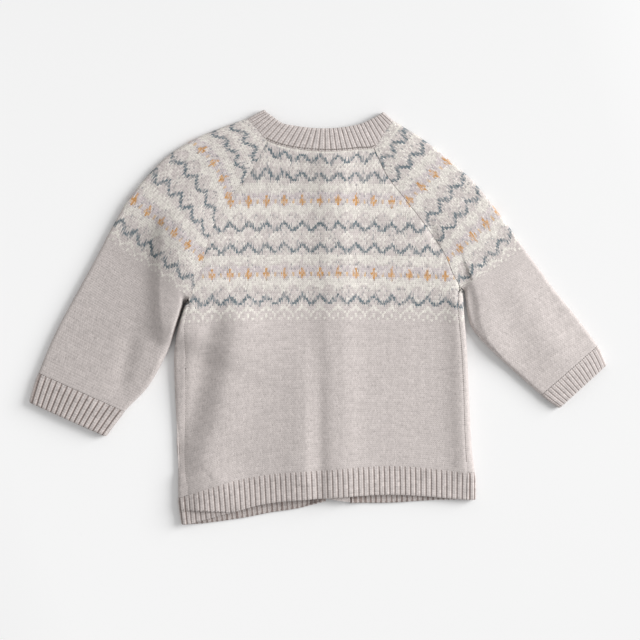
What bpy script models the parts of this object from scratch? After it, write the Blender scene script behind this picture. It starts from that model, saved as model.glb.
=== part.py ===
"""Fair isle cardigan for a baby, laid flat on its front with its back up.

The knit is thin walls. The fronts lie on the surface and turn round the side folds to the side
seams, the back lies on them, and each sleeve is one flattened tube with a raglan head. The
button bands overlap at the centre front, with the buttons under them. Tables are in millimetres:
+X is the garment's right-hand side as seen, +Y points to the neck and +Z points up.
"""

import bpy
import bmesh
import numpy as np
from mathutils import Vector

MM = 0.001

KNIT = 1.9              # thickness of the plain knit
RIB = 2.1               # thickness of the ribbing, without its ribs
RIB_RISE = 0.9          # how far a rib stands out
SEAM_GAP = 0.36         # between two pieces at a seam
FOLD_RADIUS = 2.8       # outside radius where the cloth folds over
TOP = 2.0 * FOLD_RADIUS  # height of the upper layer's outside at a fold

BACK_HEM_RIBS = 54
CUFF_RIBS = 16
NECK_RIBS = 32
BUTTON_COUNT = 6
BUTTON_DIAMETER = 11.5
BUTTON_THICKNESS = 2.4
BAND_WIDTH = 21.5
LAYER_GAP = 0.35        # between two pieces that lie on each other
RIB_START = 0.35        # share of a rib's rise where it leaves the plain knit
RIB_END = 0.6           # and at the cast-off edge
SHARP_ANGLE = 0.9       # edges that bend by more than this, in radians, are not shaded smooth
BUTTONHOLE_BAND_Z = BUTTON_THICKNESS + LAYER_GAP
BUTTON_BAND_Z = BUTTONHOLE_BAND_Z + KNIT + LAYER_GAP

# Body, a row for each level from the neck to the hem's edge.
# left x, y and right x, y of the back's edge: rows 0 to 6 raglan seam, rows 7 to 14 side seam.
BACK_EDGES = [
    (-44.5, 156.0, 49.5, 149.5),
    (-60.0, 126.5, 61.0, 125.0),
    (-78.0, 104.5, 78.0, 103.0),
    (-91.5, 80.5, 96.5, 79.0),
    (-99.0, 55.0, 111.0, 57.5),
    (-104.5, 34.5, 118.5, 40.0),
    (-112.4, 17.5, 124.6, 27.5),
    (-112.6, 11.0, 123.8, 20.0),
    (-116.5, -9.0, 124.0, 0.0),
    (-116.5, -31.0, 126.0, -22.0),
    (-116.5, -66.5, 128.0, -58.0),
    (-117.5, -103.5, 129.0, -90.0),
    (-117.0, -134.0, 130.0, -115.0),
    (-114.0, -157.0, 131.5, -137.5),
    (-112.0, -182.5, 131.5, -161.5),
]
# The fronts' outer edge, left x, y and right x, y: rows 0 to 6 raglan seam on the lower layer,
# rows 7 to 14 side fold.
FRONT_EDGES = [
    (-49.5, 146.0, 58.5, 144.5),
    (-63.0, 119.5, 69.0, 118.5),
    (-77.0, 97.5, 82.5, 96.5),
    (-89.5, 75.5, 98.5, 75.5),
    (-99.0, 52.5, 111.5, 55.0),
    (-105.5, 33.5, 118.5, 39.0),
    (-113.5, 17.5, 125.5, 27.5),
    (-116.7, 11.0, 128.0, 21.0),
    (-123.0, -9.0, 129.5, 0.0),
    (-127.0, -31.0, 131.3, -22.0),
    (-126.5, -66.5, 133.0, -58.0),
    (-124.5, -103.5, 134.5, -90.0),
    (-123.5, -135.5, 135.8, -115.0),
    (-123.5, -159.5, 138.5, -137.5),
    (-120.0, -183.5, 139.0, -161.5),
]
UNDERARM_ROW = 6
TUBE_ROW = 7
HEM_ROW = 13
HEM_EDGE_ROW = 14

# Hem lines, x, y from left to right.
BACK_HEM_SEAM = [(-114.0, -157.0), (-79.5, -146.0), (-44.5, -139.0),
                 (5.5, -135.0), (68.0, -131.5), (131.5, -137.5)]
BACK_HEM_EDGE = [(-112.0, -182.5), (-79.5, -173.5), (-44.5, -164.5),
                 (5.5, -160.0), (68.0, -157.0), (131.5, -161.5)]
LEFT_HEM_SEAM = [(-123.5, -159.5), (-104.5, -158.5), (-69.0, -152.5), (-42.5, -147.0),
                 (-16.0, -142.5), (7.0, -138.0)]
LEFT_HEM_EDGE = [(-120.0, -183.5), (-104.5, -182.8), (-69.0, -178.0), (-42.5, -173.0),
                 (-16.0, -169.0), (7.0, -162.5)]
RIGHT_HEM_SEAM = [(28.5, -141.0), (64.0, -141.0), (88.5, -140.0), (108.0, -139.0),
                  (138.5, -137.5)]
RIGHT_HEM_EDGE = [(28.5, -164.5), (64.0, -164.5), (88.5, -163.0), (108.0, -162.0),
                  (139.0, -161.5)]

# Neckband, a row for each station: neck edge x, y, then seam edge x, y.
NECK_BACK = [
    (-47.0, 183.5, -62.0, 175.5),
    (-40.0, 177.0, -53.0, 165.5),
    (-31.0, 171.0, -44.5, 156.0),
    (-18.5, 168.5, -30.0, 150.5),
    (-6.0, 167.0, -13.5, 147.5),
    (6.0, 166.5, 6.0, 146.0),
    (17.5, 167.0, 22.0, 146.5),
    (28.5, 168.5, 37.0, 148.0),
    (39.0, 171.0, 49.5, 149.5),
    (48.5, 175.5, 58.0, 161.5),
    (57.5, 181.5, 66.5, 173.5),
]
NECK_LEFT_FRONT = [
    (-47.0, 183.5, -62.0, 175.5),
    (-44.5, 171.0, -58.5, 160.5),
    (-37.0, 157.0, -49.5, 146.0),
    (-25.0, 145.5, -33.5, 131.0),
    (-11.5, 138.0, -16.0, 122.5),
    (3.5, 135.5, 3.5, 118.0),
]
NECK_RIGHT_FRONT = [
    (57.5, 181.5, 66.5, 173.5),
    (56.0, 169.0, 64.5, 158.5),
    (50.5, 157.0, 58.5, 144.5),
    (41.0, 145.5, 47.0, 130.0),
    (33.0, 140.0, 36.5, 123.0),
    (25.0, 136.5, 25.0, 118.5),
]
RAGLAN_STATION_BACK = 2     # row of NECK_BACK and, from its other end, where a raglan seam starts
RAGLAN_STATION_FRONT = 2    # row of the front tables where a front raglan seam starts

# Sleeves' outer folds, left x, y and right x, y, a row for each section. Rows 0 to 6 are open
# raglan heads, rows 7 to 11 are a tube and row 12 is the cuff's edge.
SLEEVE_FOLDS = [
    (-62.0, 175.5, 66.5, 173.5),
    (-87.5, 166.5, 91.0, 158.5),
    (-112.5, 155.5, 114.5, 140.0),
    (-137.5, 138.5, 139.0, 118.0),
    (-164.0, 109.0, 161.5, 89.5),
    (-175.5, 91.0, 172.5, 74.5),
    (-187.0, 70.0, 183.5, 58.5),
    (-190.5, 63.0, 188.0, 52.5),
    (-202.0, 41.5, 198.0, 39.0),
    (-215.5, 17.0, 209.0, 24.0),
    (-233.0, -16.0, 231.0, -3.5),
    (-247.0, -49.5, 247.0, -25.5),
    (-255.0, -75.5, 255.0, -42.5),
]
# Their inner folds, left x, y and radius, right x, y and radius, for rows 7 to 12.
SLEEVE_INNERS = [
    (-118.2, 10.5, 2.8, 129.7, 23.0, 2.8),
    (-124.7, -9.0, 3.4, 132.2, 3.5, 2.8),
    (-133.0, -31.0, 4.0, 138.5, -13.5, 3.0),
    (-150.0, -61.5, 3.2, 165.5, -41.0, 3.0),
    (-171.0, -83.5, 2.8, 197.5, -69.0, 2.8),
    (-188.0, -105.5, 2.8, 213.5, -80.5, 2.8),
]
CUFF_ROW = 11
CUFF_EDGE_ROW = 12

# The button bands' left edge at the neck and at the hem.
BAND_NECK = (3.5, 135.0)
BAND_HEM = (7.0, -163.0)

# Folds of the upper layer: rise, reach to the left and to the right of the line, then the line
# from the neck downwards. A negative rise is a trough.
FOLDS = [
    dict(name="left body ridge", rise=4.2, left=8.0, right=22.0,
         line=[(-66.0, 24.0), (-74.0, -29.0), (-80.0, -60.0), (-87.0, -91.5), (-98.0, -122.5),
               (-101.0, -171.0)]),
    dict(name="left underarm crest", rise=7.0, left=10.0, right=13.0,
         line=[(-121.0, 92.0), (-127.0, 62.0), (-131.0, 30.0), (-134.0, -4.0), (-137.5, -26.0)]),
    dict(name="left sleeve crease", rise=-0.9, left=9.0, right=9.0,
         line=[(-160.0, -8.0), (-177.0, -58.0)]),
    dict(name="fold beside the bands", rise=1.8, left=6.0, right=9.0,
         line=[(-13.5, -8.0), (-13.5, -148.0)]),
    dict(name="right edge swell", rise=2.2, left=9.0, right=8.0,
         line=[(122.0, 12.0), (126.0, -29.0), (126.5, -73.5), (129.0, -135.0)]),
    dict(name="right underarm crest", rise=3.6, left=5.0, right=17.0,
         line=[(137.0, 30.0), (142.0, 16.0), (144.5, -6.0), (154.0, -26.0)]),
    dict(name="right sleeve swell", rise=1.5, left=16.0, right=16.0,
         line=[(172.0, 28.0), (212.0, -34.0)]),
    dict(name="left hem swell", rise=2.0, left=12.0, right=18.0,
         line=[(-84.0, -150.0), (-62.0, -172.0)]),
]
DOME = 0.9              # the upper layer's soft swell between its edges
BAND_SWELL = 4.6        # how far the bands lift the back
BAND_SWELL_REACH = 17.0
BAND_SLOPE = 17.0       # width over which a front climbs to its band

# Sections made: the tables' row numbers.
YOKE_ROWS = [0, 0.5, 1, 1.5, 2, 2.5, 3, 3.5, 4, 5, 6]
BODY_ROWS = YOKE_ROWS + [6.5, 7, 8, 9, 9.5, 10, 10.5, 11, 12, 13]
SLEEVE_ROWS = YOKE_ROWS + [7, 8, 9, 9.5, 10, 10.5, 11]
BACK_COLUMNS = 34
FRONT_COLUMNS = 9
SIDE_COLUMNS = 6
SLEEVE_TOP_COLUMNS = 13
SLEEVE_FLOOR_COLUMNS = 7
ARC_COLUMNS = 5
SWELL_POWER = 4         # how square the swell over the bands is
TURN_STEPS = 15         # points that a fold is worked out from
UNDERARM_TURN = 0.35    # how far round its fold a front has come at the underarm
FINE_STEPS = 60         # points that a front's section is worked out from
EDGE_CROWDING = 1.6     # how much closer columns stand near a tube's inner fold
FLAT_SIDE = 12.0        # width of a front's outermost columns where it does not turn up
NECK_LEVEL = 152.0      # the bands' swell ends at this height up the back
NECK_FADE = 16.0        # over this length

COLOURS = {
    "knit": (0.56, 0.51, 0.485, 1.0),
    "rib": (0.54, 0.49, 0.465, 1.0),
    "band": (0.54, 0.49, 0.465, 1.0),
    "button": (0.62, 0.57, 0.50, 1.0),
}
UP = np.array([0.0, 0.0, 1.0])


def unit(vectors):
    """The vectors at length one."""
    return vectors / np.maximum(np.linalg.norm(vectors, axis=-1, keepdims=True), 1e-9)


def smooth(x):
    """0 to 1 with soft ends."""
    x = np.clip(x, 0.0, 1.0)
    return x * x * (3.0 - 2.0 * x)


def along_table(table, at):
    """Values on a smooth curve through a table's rows, at fractional row numbers."""
    rows = np.asarray(table, float)
    at = np.clip(np.atleast_1d(np.asarray(at, float)), 0, len(rows) - 1)
    k = np.minimum(at.astype(int), len(rows) - 2)
    t = (at - k)[:, None]
    before, here = rows[np.maximum(k - 1, 0)], rows[k]
    after, beyond = rows[k + 1], rows[np.minimum(k + 2, len(rows) - 1)]
    linear = (after - before) * t
    square = (2.0 * before - 5.0 * here + 4.0 * after - beyond) * t ** 2
    cube = (3.0 * here - before - 3.0 * after + beyond) * t ** 3
    return here + 0.5 * (linear + square + cube)


def along_line(points, count):
    """Points evenly spaced on a smooth curve through a few points."""
    fine = along_table(points, np.linspace(0, len(points) - 1, 200))
    run = np.r_[0.0, np.cumsum(np.linalg.norm(np.diff(fine, axis=0), axis=1))]
    wanted = np.linspace(0.0, run[-1], count)
    return np.stack([np.interp(wanted, run, fine[:, k]) for k in range(fine.shape[1])], axis=1)


def resample(points, stops):
    """Points at given distances along a polyline."""
    run = np.r_[0.0, np.cumsum(np.linalg.norm(np.diff(points, axis=0), axis=1))]
    return np.stack([np.interp(stops, run, points[:, k]) for k in range(3)], axis=1)


def patch(top, bottom, first, last, across, down):
    """A sheet between four edges, in plan: rows go down, columns go across."""
    u, v = across[None, :, None], down[:, None, None]
    edges = (1 - v) * top[None] + v * bottom[None] + (1 - u) * first[:, None] + u * last[:, None]
    corners = ((1 - v) * ((1 - u) * top[0] + u * top[-1])
               + v * ((1 - u) * bottom[0] + u * bottom[-1]))
    return edges - corners


def fold_lift(x, y):
    """How far the folds lift the upper layer at a place in plan."""
    lift = np.zeros(np.shape(x))
    for fold in FOLDS:
        line = along_line(fold["line"], 24)
        nearest = np.full(np.shape(x), 1e9)
        side = np.zeros(np.shape(x))
        for a, b in zip(line[:-1], line[1:]):
            run = b - a
            t = np.clip(((x - a[0]) * run[0] + (y - a[1]) * run[1]) / run.dot(run), 0.0, 1.0)
            dx, dy = x - a[0] - t * run[0], y - a[1] - t * run[1]
            distance = np.hypot(dx, dy)
            closer = distance < nearest
            nearest = np.where(closer, distance, nearest)
            side = np.where(closer, run[0] * dy - run[1] * dx, side)
        reach = np.where(side > 0, fold["right"], fold["left"])
        lift += fold["rise"] * np.exp(-(nearest / reach) ** 2)
    return lift


def band_left_edge(y):
    """X of the button bands' left edge at a height up the front."""
    share = (y - BAND_HEM[1]) / (BAND_NECK[1] - BAND_HEM[1])
    return BAND_HEM[0] + (BAND_NECK[0] - BAND_HEM[0]) * share


def front_rise(x, y, side):
    """Height of a front's underside, which climbs to its band at the centre front."""
    edge = band_left_edge(y)
    if side == "left":
        return BUTTON_BAND_Z * smooth(1.0 - (edge - x) / BAND_SLOPE)
    return BUTTONHOLE_BAND_Z * smooth(1.0 - (x - edge - BAND_WIDTH) / BAND_SLOPE)


def band_swell(x, y):
    """How far the overlapped button bands lift the back."""
    middle = band_left_edge(y) + BAND_WIDTH / 2.0
    below_neck = smooth((NECK_LEVEL - y) / NECK_FADE)
    return BAND_SWELL * below_neck / (1.0 + (np.abs(x - middle) / BAND_SWELL_REACH) ** SWELL_POWER)


def upper_lift(x, y):
    """All that lifts the upper layer above its plain height."""
    return fold_lift(x, y) + band_swell(x, y)


def section_normals(grid, outward):
    """Directions out of the cloth in each row's own upright section."""
    run = np.gradient(grid, axis=1)
    level = (run * outward).sum(axis=2, keepdims=True)
    return unit(level * UP - run[:, :, 2:3] * outward)


def add_lift(grid, upper_columns=None):
    """Lift the upper layer by its folds, fading to nothing half way round each turned edge."""
    part = grid[:, :upper_columns]
    share = smooth((part[:, :, 2] - FOLD_RADIUS) / FOLD_RADIUS)
    part[:, :, 2] += share * upper_lift(part[:, :, 0], part[:, :, 1])
    return grid


# ---------------------------------------------------------------- neck seam

def fold_out(row):
    """Level direction out of the neckband's fold at a shoulder."""
    along = unit(np.array([row[2] - row[0], row[3] - row[1]]))
    out = np.array([along[1], -along[0]])
    return out if out[1] > 0 else -out


def neck_stations():
    """Neck edge and seam edge at the neckband's whole stations, and each shoulder's way out."""
    left_out, right_out = fold_out(NECK_BACK[0]), fold_out(NECK_BACK[-1])
    left, back, right = (np.array(rows)
                         for rows in (NECK_LEFT_FRONT, NECK_BACK, NECK_RIGHT_FRONT))
    pull_left = FOLD_RADIUS * np.r_[left_out, left_out]
    pull_right = FOLD_RADIUS * np.r_[right_out, right_out]
    back[0] -= pull_left
    left[0] -= pull_left
    back[-1] -= pull_right
    right[0] -= pull_right
    return left, back, right, left_out, right_out


LEFT_FOLD = len(NECK_LEFT_FRONT) - 1        # station where the left shoulder fold starts
BACK_START = LEFT_FOLD + 1                  # and ends
BACK_END = BACK_START + len(NECK_BACK) - 1
RIGHT_START = BACK_END + 1
LAST_STATION = RIGHT_START + len(NECK_RIGHT_FRONT) - 1
RAGLAN_BACK_LEFT = BACK_START + RAGLAN_STATION_BACK
RAGLAN_BACK_RIGHT = BACK_END - RAGLAN_STATION_BACK
RAGLAN_FRONT_LEFT = LEFT_FOLD - RAGLAN_STATION_FRONT
RAGLAN_FRONT_RIGHT = RIGHT_START + RAGLAN_STATION_FRONT


def neck_points(stations, edge):
    """Points and outward directions on the neckband's neck edge (0) or seam edge (1)."""
    left, back, right, left_out, right_out = neck_stations()
    columns = slice(2 * edge, 2 * edge + 2)
    points, outs = [], []
    for s in stations:
        if s <= LEFT_FOLD:
            plan = along_table(left[:, columns], LEFT_FOLD - s)[0]
            z, out = front_rise(plan[0], plan[1], "left"), -UP
        elif s < BACK_START:
            angle = np.pi * (s - LEFT_FOLD) - np.pi / 2
            plan = left[0, columns] + FOLD_RADIUS * np.cos(angle) * left_out
            z = FOLD_RADIUS * (1 + np.sin(angle))
            out = np.r_[np.cos(angle) * left_out, np.sin(angle)]
        elif s <= BACK_END:
            plan = along_table(back[:, columns], s - BACK_START)[0]
            z, out = TOP, UP
        elif s < RIGHT_START:
            angle = np.pi / 2 - np.pi * (s - BACK_END)
            plan = right[0, columns] + FOLD_RADIUS * np.cos(angle) * right_out
            z = FOLD_RADIUS * (1 + np.sin(angle))
            out = np.r_[np.cos(angle) * right_out, np.sin(angle)]
        else:
            plan = along_table(right[:, columns], s - RIGHT_START)[0]
            z, out = front_rise(plan[0], plan[1], "right"), -UP
        points.append((plan[0], plan[1], z))
        outs.append(out)
    points, outs = np.array(points), np.array(outs)
    share = smooth(outs[:, 2])
    points[:, 2] += share * upper_lift(points[:, 0], points[:, 1])
    return points, outs


# ---------------------------------------------------------------- solids

def solid_between(name, outer, inner, slot, parts):
    """A closed wall between two grids of points in millimetres, its equal end columns joined."""
    rows, columns = outer.shape[:2]
    sheet = bmesh.new()
    bmesh.ops.create_grid(sheet, x_segments=columns - 1, y_segments=rows - 1, size=1.0)
    place = sheet.verts.layers.int.new("place")
    sheet.verts.ensure_lookup_table()
    flat_outer, flat_inner = outer.reshape(-1, 3) * MM, inner.reshape(-1, 3) * MM
    for number, vert in enumerate(sheet.verts):
        vert[place] = number
        vert.co = Vector(flat_outer[number])
    bmesh.ops.remove_doubles(sheet, verts=sheet.verts[:], dist=1e-6)
    places = [vert[place] for vert in sheet.verts]
    mesh = bpy.data.meshes.new(name)
    sheet.to_mesh(mesh)
    sheet.free()
    piece = bpy.data.objects.new(name, mesh)
    parts.objects.link(piece)
    wall = piece.modifiers.new("wall", 'SOLIDIFY')
    wall.thickness = KNIT * MM
    wall.offset = -1.0
    bpy.context.view_layer.update()
    evaluated = piece.evaluated_get(bpy.context.evaluated_depsgraph_get())
    solid = bpy.data.meshes.new_from_object(evaluated)
    piece.modifiers.clear()
    piece.data = solid
    for number, where in enumerate(places):
        solid.vertices[number].co = Vector(flat_outer[where])
        solid.vertices[len(places) + number].co = Vector(flat_inner[where])
    solid.update()
    finish(piece, slot)
    return piece


def finish(piece, slot):
    """Give a piece its material and soft shading."""
    material = bpy.data.materials.new(piece.name)
    material.use_nodes = True
    shader = material.node_tree.nodes["Principled BSDF"]
    shader.inputs["Base Color"].default_value = COLOURS[slot]
    shader.inputs["Roughness"].default_value = 0.45 if slot == "button" else 0.95
    shader.inputs["Metallic"].default_value = 0.0
    piece.data.materials.clear()
    piece.data.materials.append(material)
    piece.data.shade_smooth()
    piece.data.set_sharp_from_angle(angle=SHARP_ANGLE)


def inward_shift(grid, edge):
    """Level steps that take a grid's edge line in from its seam by half the seam gap."""
    lines = {"top": (grid[0], grid[1]), "bottom": (grid[-1], grid[-2]),
             "first": (grid[:, 0], grid[:, 1]), "last": (grid[:, -1], grid[:, -2])}
    line, beside = lines[edge]
    run = unit(np.gradient(line, axis=0))
    into = beside - line
    into = into - (into * run).sum(axis=1, keepdims=True) * run
    if np.allclose(line[0], line[-1]):
        into[-1] = into[0]
    return unit(into) * SEAM_GAP / 2.0


def knit_piece(name, grid, normals, thickness, slot, parts, seams, ribs=None, open_rows=None):
    """Wall for one piece: trimmed back from its seams, with any ribs raised on its outside."""
    outer, inner = grid.copy(), grid - thickness * normals
    for seam in seams:
        step = inward_shift(grid, seam)
        if seam in ("first", "last") and open_rows is not None:
            step = step * open_rows[:, None]
        where = {"top": np.s_[0], "bottom": np.s_[-1],
                 "first": np.s_[:, 0], "last": np.s_[:, -1]}[seam]
        outer[where] += step
        inner[where] += step
    if ribs is not None:
        outer += ribs[:, :, None] * normals
    outer[:, :, 2] = np.maximum(outer[:, :, 2], 0.0)
    facing = np.cross(np.gradient(grid, axis=1), np.gradient(grid, axis=0))
    if (facing * normals).sum() < 0:
        outer, inner = outer[:, ::-1], inner[:, ::-1]
    return solid_between(name, outer, inner, slot, parts)


def rib_rise(rows, columns, ribs_here):
    """Rise of each point of a ribbed grid: every second column where there are ribs."""
    across = np.array([RIB_RISE if ribs_here(k) and k % 2 else 0.0 for k in range(columns)])
    down = np.ones(rows)
    down[0], down[-1] = RIB_START, RIB_END
    return down[:, None] * across[None, :]


# ---------------------------------------------------------------- back

def back_grid(rows, across, hem):
    """The back's outside, or its hem's."""
    edges = along_table(BACK_EDGES, rows)
    if hem:
        top = along_line(BACK_HEM_SEAM, len(across))
        bottom = along_line(BACK_HEM_EDGE, len(across))
        down = (np.array(rows) - HEM_ROW) / (HEM_EDGE_ROW - HEM_ROW)
    else:
        stations = RAGLAN_BACK_LEFT + across * (RAGLAN_BACK_RIGHT - RAGLAN_BACK_LEFT)
        top = neck_points(stations, 1)[0][:, :2]
        bottom = along_line(BACK_HEM_SEAM, len(across))
        down = np.array(rows) / HEM_ROW
    plan = patch(top, bottom, edges[:, 0:2], edges[:, 2:4], across, down)
    swell = DOME * np.sin(np.pi * across)[None, :] * smooth(down * 6 + hem)[:, None]
    grid = np.dstack([plan, TOP + swell])
    return add_lift(grid)


def make_back(parts):
    across = np.linspace(0, 1, BACK_COLUMNS)
    grid = back_grid(BODY_ROWS, across, 0)
    normals = section_normals(grid, np.array([1.0, 0.0, 0.0]))
    normals[0] = UP
    normals[:, 0] = UP
    normals[:, -1] = UP
    knit_piece("back", grid, normals, KNIT, "knit", parts, ["top", "bottom", "first", "last"])


def make_back_hem(parts):
    columns = 2 * BACK_HEM_RIBS + 1
    rows = [HEM_ROW, HEM_ROW + 0.5, HEM_EDGE_ROW]
    grid = back_grid(rows, np.linspace(0, 1, columns), 1)
    normals = section_normals(grid, np.array([1.0, 0.0, 0.0]))
    normals[:, 0] = UP
    normals[:, -1] = UP
    ribs = rib_rise(len(rows), columns, lambda k: True)
    knit_piece("back_hem", grid, normals, RIB, "rib", parts, ["top", "first", "last"], ribs)


# ---------------------------------------------------------------- fronts

def turned_section(flat, edge, seam, turn, out, counts):
    """One front section, from the side seam round the side fold and along the floor.

    flat is the floor line from the centre outwards, edge the outermost point in plan, seam the
    side seam's place, and turn is 1 where the cloth goes all round the side fold, less where it
    ends on the way, and 0 where it ends on the floor.
    """
    side_columns, floor_columns = counts
    floor_length = np.linalg.norm(np.diff(flat, axis=0), axis=1).sum()
    line, knee = flat, floor_length - FLAT_SIDE * (1.0 - turn)
    if turn:
        angles = np.linspace(0, np.pi * turn, TURN_STEPS) - np.pi / 2
        level = np.outer(np.cos(angles) - 1.0, out[:2]) * FOLD_RADIUS
        arc = np.column_stack([edge + level, FOLD_RADIUS * (1 + np.sin(angles))])
        line = np.vstack([flat, arc[1:]])
    if turn == 1:
        line = np.vstack([line, np.r_[seam, TOP]])
    whole = np.linalg.norm(np.diff(line, axis=0), axis=1).sum()
    stops = np.r_[np.linspace(0, knee, floor_columns),
                  np.linspace(knee, whole, side_columns + 1)[1:]]
    return resample(line, stops)[::-1]


def front_turn(row):
    """Share of the side fold that a front goes round at a row."""
    if row < UNDERARM_ROW:
        return 0.0
    return min(1.0, UNDERARM_TURN + (1.0 - UNDERARM_TURN) * (row - UNDERARM_ROW))


def front_grid(side, rows, hem, floor_columns):
    """A front's outside, or its hem's: columns from the side seam round to the centre."""
    left = side == "left"
    out = np.array([-1.0, 0.0, 0.0]) if left else np.array([1.0, 0.0, 0.0])
    pick = slice(0, 2) if left else slice(2, 4)
    edges = along_table(FRONT_EDGES, rows)[:, pick]
    seams = along_table(BACK_EDGES, rows)[:, pick]
    turned = np.array([front_turn(row) for row in rows])
    fold_starts = edges - (turned[:, None] > 0) * FOLD_RADIUS * out[None, :2]
    fine = np.linspace(0, 1, FINE_STEPS)
    hem_seam = LEFT_HEM_SEAM if left else RIGHT_HEM_SEAM[::-1]
    hem_edge = LEFT_HEM_EDGE if left else RIGHT_HEM_EDGE[::-1]
    if hem:
        top = along_line(hem_seam, len(fine))[::-1]
        bottom = along_line(hem_edge, len(fine))[::-1]
        down = (np.array(rows) - HEM_ROW) / (HEM_EDGE_ROW - HEM_ROW)
    else:
        ends = (0, RAGLAN_FRONT_LEFT) if left else (LAST_STATION, RAGLAN_FRONT_RIGHT)
        top = neck_points(ends[0] + fine * (ends[1] - ends[0]), 1)[0][:, :2]
        bottom = along_line(hem_seam, len(fine))[::-1]
        down = np.array(rows) / HEM_ROW
    centre_top, centre_bottom = top[0], bottom[0]
    centre = centre_top + down[:, None] * (centre_bottom - centre_top)
    plan = patch(top, bottom, centre, fold_starts, fine, down)
    plan[:, :, 0] = fit_to_centre(plan[:, :, 0], plan[:, :, 1], fine, left)
    sections = []
    for k in range(len(rows)):
        rise = front_rise(plan[k, :, 0], plan[k, :, 1], side)
        flat = np.column_stack([plan[k], rise])
        sections.append(turned_section(flat, edges[k], seams[k], turned[k], out,
                                       (SIDE_COLUMNS, floor_columns)))
    return add_lift(np.array(sections), SIDE_COLUMNS), out, turned


def fit_to_centre(x, y, fine, left):
    """Slide the floor columns so that the first ends on the band's edge."""
    edge = band_left_edge(y[:, :1]) + (0.0 if left else BAND_WIDTH)
    return x + (edge - x[:, :1]) * (1.0 - fine[None, :]) ** 2


def make_front(side, parts):
    grid, out, turned = front_grid(side, BODY_ROWS, 0, FRONT_COLUMNS)
    normals = section_normals(grid, out)
    normals[0] = -UP
    angles = np.pi * turned[:, None] - np.pi / 2
    normals[:, 0] = np.cos(angles) * out + np.sin(angles) * UP
    knit_piece("front_" + side, grid, normals, KNIT, "knit", parts,
               ["top", "bottom", "first", "last"])


def make_front_hem(side, parts):
    rows = [HEM_ROW, HEM_ROW + 0.5, HEM_EDGE_ROW]
    grid, out, turned = front_grid(side, rows, 1, FRONT_COLUMNS + 1)
    normals = section_normals(grid, out)
    normals[:, 0] = UP
    ribs = rib_rise(len(rows), grid.shape[1], lambda k: k <= 3)
    knit_piece("front_%s_hem" % side, grid, normals, RIB, "rib", parts,
               ["top", "first", "last"], ribs)


# ---------------------------------------------------------------- sleeves

def sleeve_section(fold, inner, front, radius, tube, counts):
    """One sleeve section: from the inner edge over the top, round the outer fold and back."""
    top_columns, floor_columns, crowding = counts
    out = unit(fold - (inner + front) / 2.0)
    angles = np.linspace(np.pi / 2, -np.pi / 2, TURN_STEPS)
    arc = np.column_stack([fold + FOLD_RADIUS * np.outer(np.cos(angles) - 1.0, out),
                           FOLD_RADIUS * (1 + np.sin(angles))])
    quarter = np.linspace(0, np.pi / 2, TURN_STEPS // 2 + 1)
    start = np.column_stack([inner + radius * np.outer(1.0 - np.cos(quarter), out),
                             radius * (1 + np.sin(quarter))])
    end = start * np.array([1.0, 1.0, -1.0]) + np.array([0.0, 0.0, 2.0 * radius])
    if not tube:
        start = np.array([[inner[0], inner[1], TOP]])
        end = np.array([[front[0], front[1], 0.0]])
    reach = np.linspace(0, 1, 20)[1:-1, None]
    over = start[-1] + (arc[0] - start[-1]) * reach
    over[:, 2] += DOME * np.sin(np.pi * reach[:, 0])
    under = arc[-1] + (end[-1] - arc[-1]) * reach
    upper = np.vstack([start, over, arc[:1]])
    lower = np.vstack([arc[-1:], under, end[::-1]])
    pieces = [(upper, top_columns), (arc, ARC_COLUMNS), (lower, floor_columns)]
    made = []
    for line, columns in pieces:
        length = np.linalg.norm(np.diff(line, axis=0), axis=1).sum()
        spread = np.linspace(0, 1, columns)
        if tube and line is upper:
            spread = spread ** crowding
        if tube and line is lower:
            spread = 1.0 - (1.0 - spread) ** EDGE_CROWDING
        made.append(resample(line, spread * length))
    return np.vstack([made[0], made[1][1:], made[2][1:]]), out


def sleeve_grid(side, rows, counts):
    """A sleeve's outside with its cuff's: rows from the neckband to the cuff's edge."""
    left = side == "left"
    pick = slice(0, 2) if left else slice(2, 4)
    sections, outs = [], []
    for row in rows:
        fold = along_table(SLEEVE_FOLDS, row)[0][pick]
        if row <= UNDERARM_ROW:
            inner = along_table(BACK_EDGES, row)[0][pick]
            front = along_table(FRONT_EDGES, row)[0][pick]
            radius = FOLD_RADIUS
        else:
            line = along_table(SLEEVE_INNERS, row - TUBE_ROW)[0][slice(0, 3) if left else slice(3, 6)]
            inner, radius = line[0:2], line[2]
            front = inner
        section, out = sleeve_section(fold, inner, front, radius, row > UNDERARM_ROW, counts)
        sections.append(section)
        outs.append(np.r_[out, 0.0])
    grid, outs = np.array(sections), np.array(outs)
    if rows[0] == 0:
        grid = join_to_neck(grid, side, rows, counts)
    return add_lift(grid), outs[:, None, :]


def neck_stops(side, counts):
    """Stations of the neck seam under a sleeve's columns."""
    top_columns, floor_columns, _ = counts
    if side == "left":
        marks = (RAGLAN_BACK_LEFT, BACK_START, LEFT_FOLD, RAGLAN_FRONT_LEFT)
    else:
        marks = (RAGLAN_BACK_RIGHT, BACK_END, RIGHT_START, RAGLAN_FRONT_RIGHT)
    return np.r_[np.linspace(marks[0], marks[1], top_columns),
                 np.linspace(marks[1], marks[2], ARC_COLUMNS)[1:],
                 np.linspace(marks[2], marks[3], floor_columns)[1:]]


def join_to_neck(grid, side, rows, counts):
    """Move the sleeve's first sections so that they start on the neckband's seam."""
    seam = neck_points(neck_stops(side, counts), 1)[0]
    step = seam - grid[0]
    for k, row in enumerate(rows):
        grid[k] += step * max(0.0, 1.0 - row)
    return grid


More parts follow.
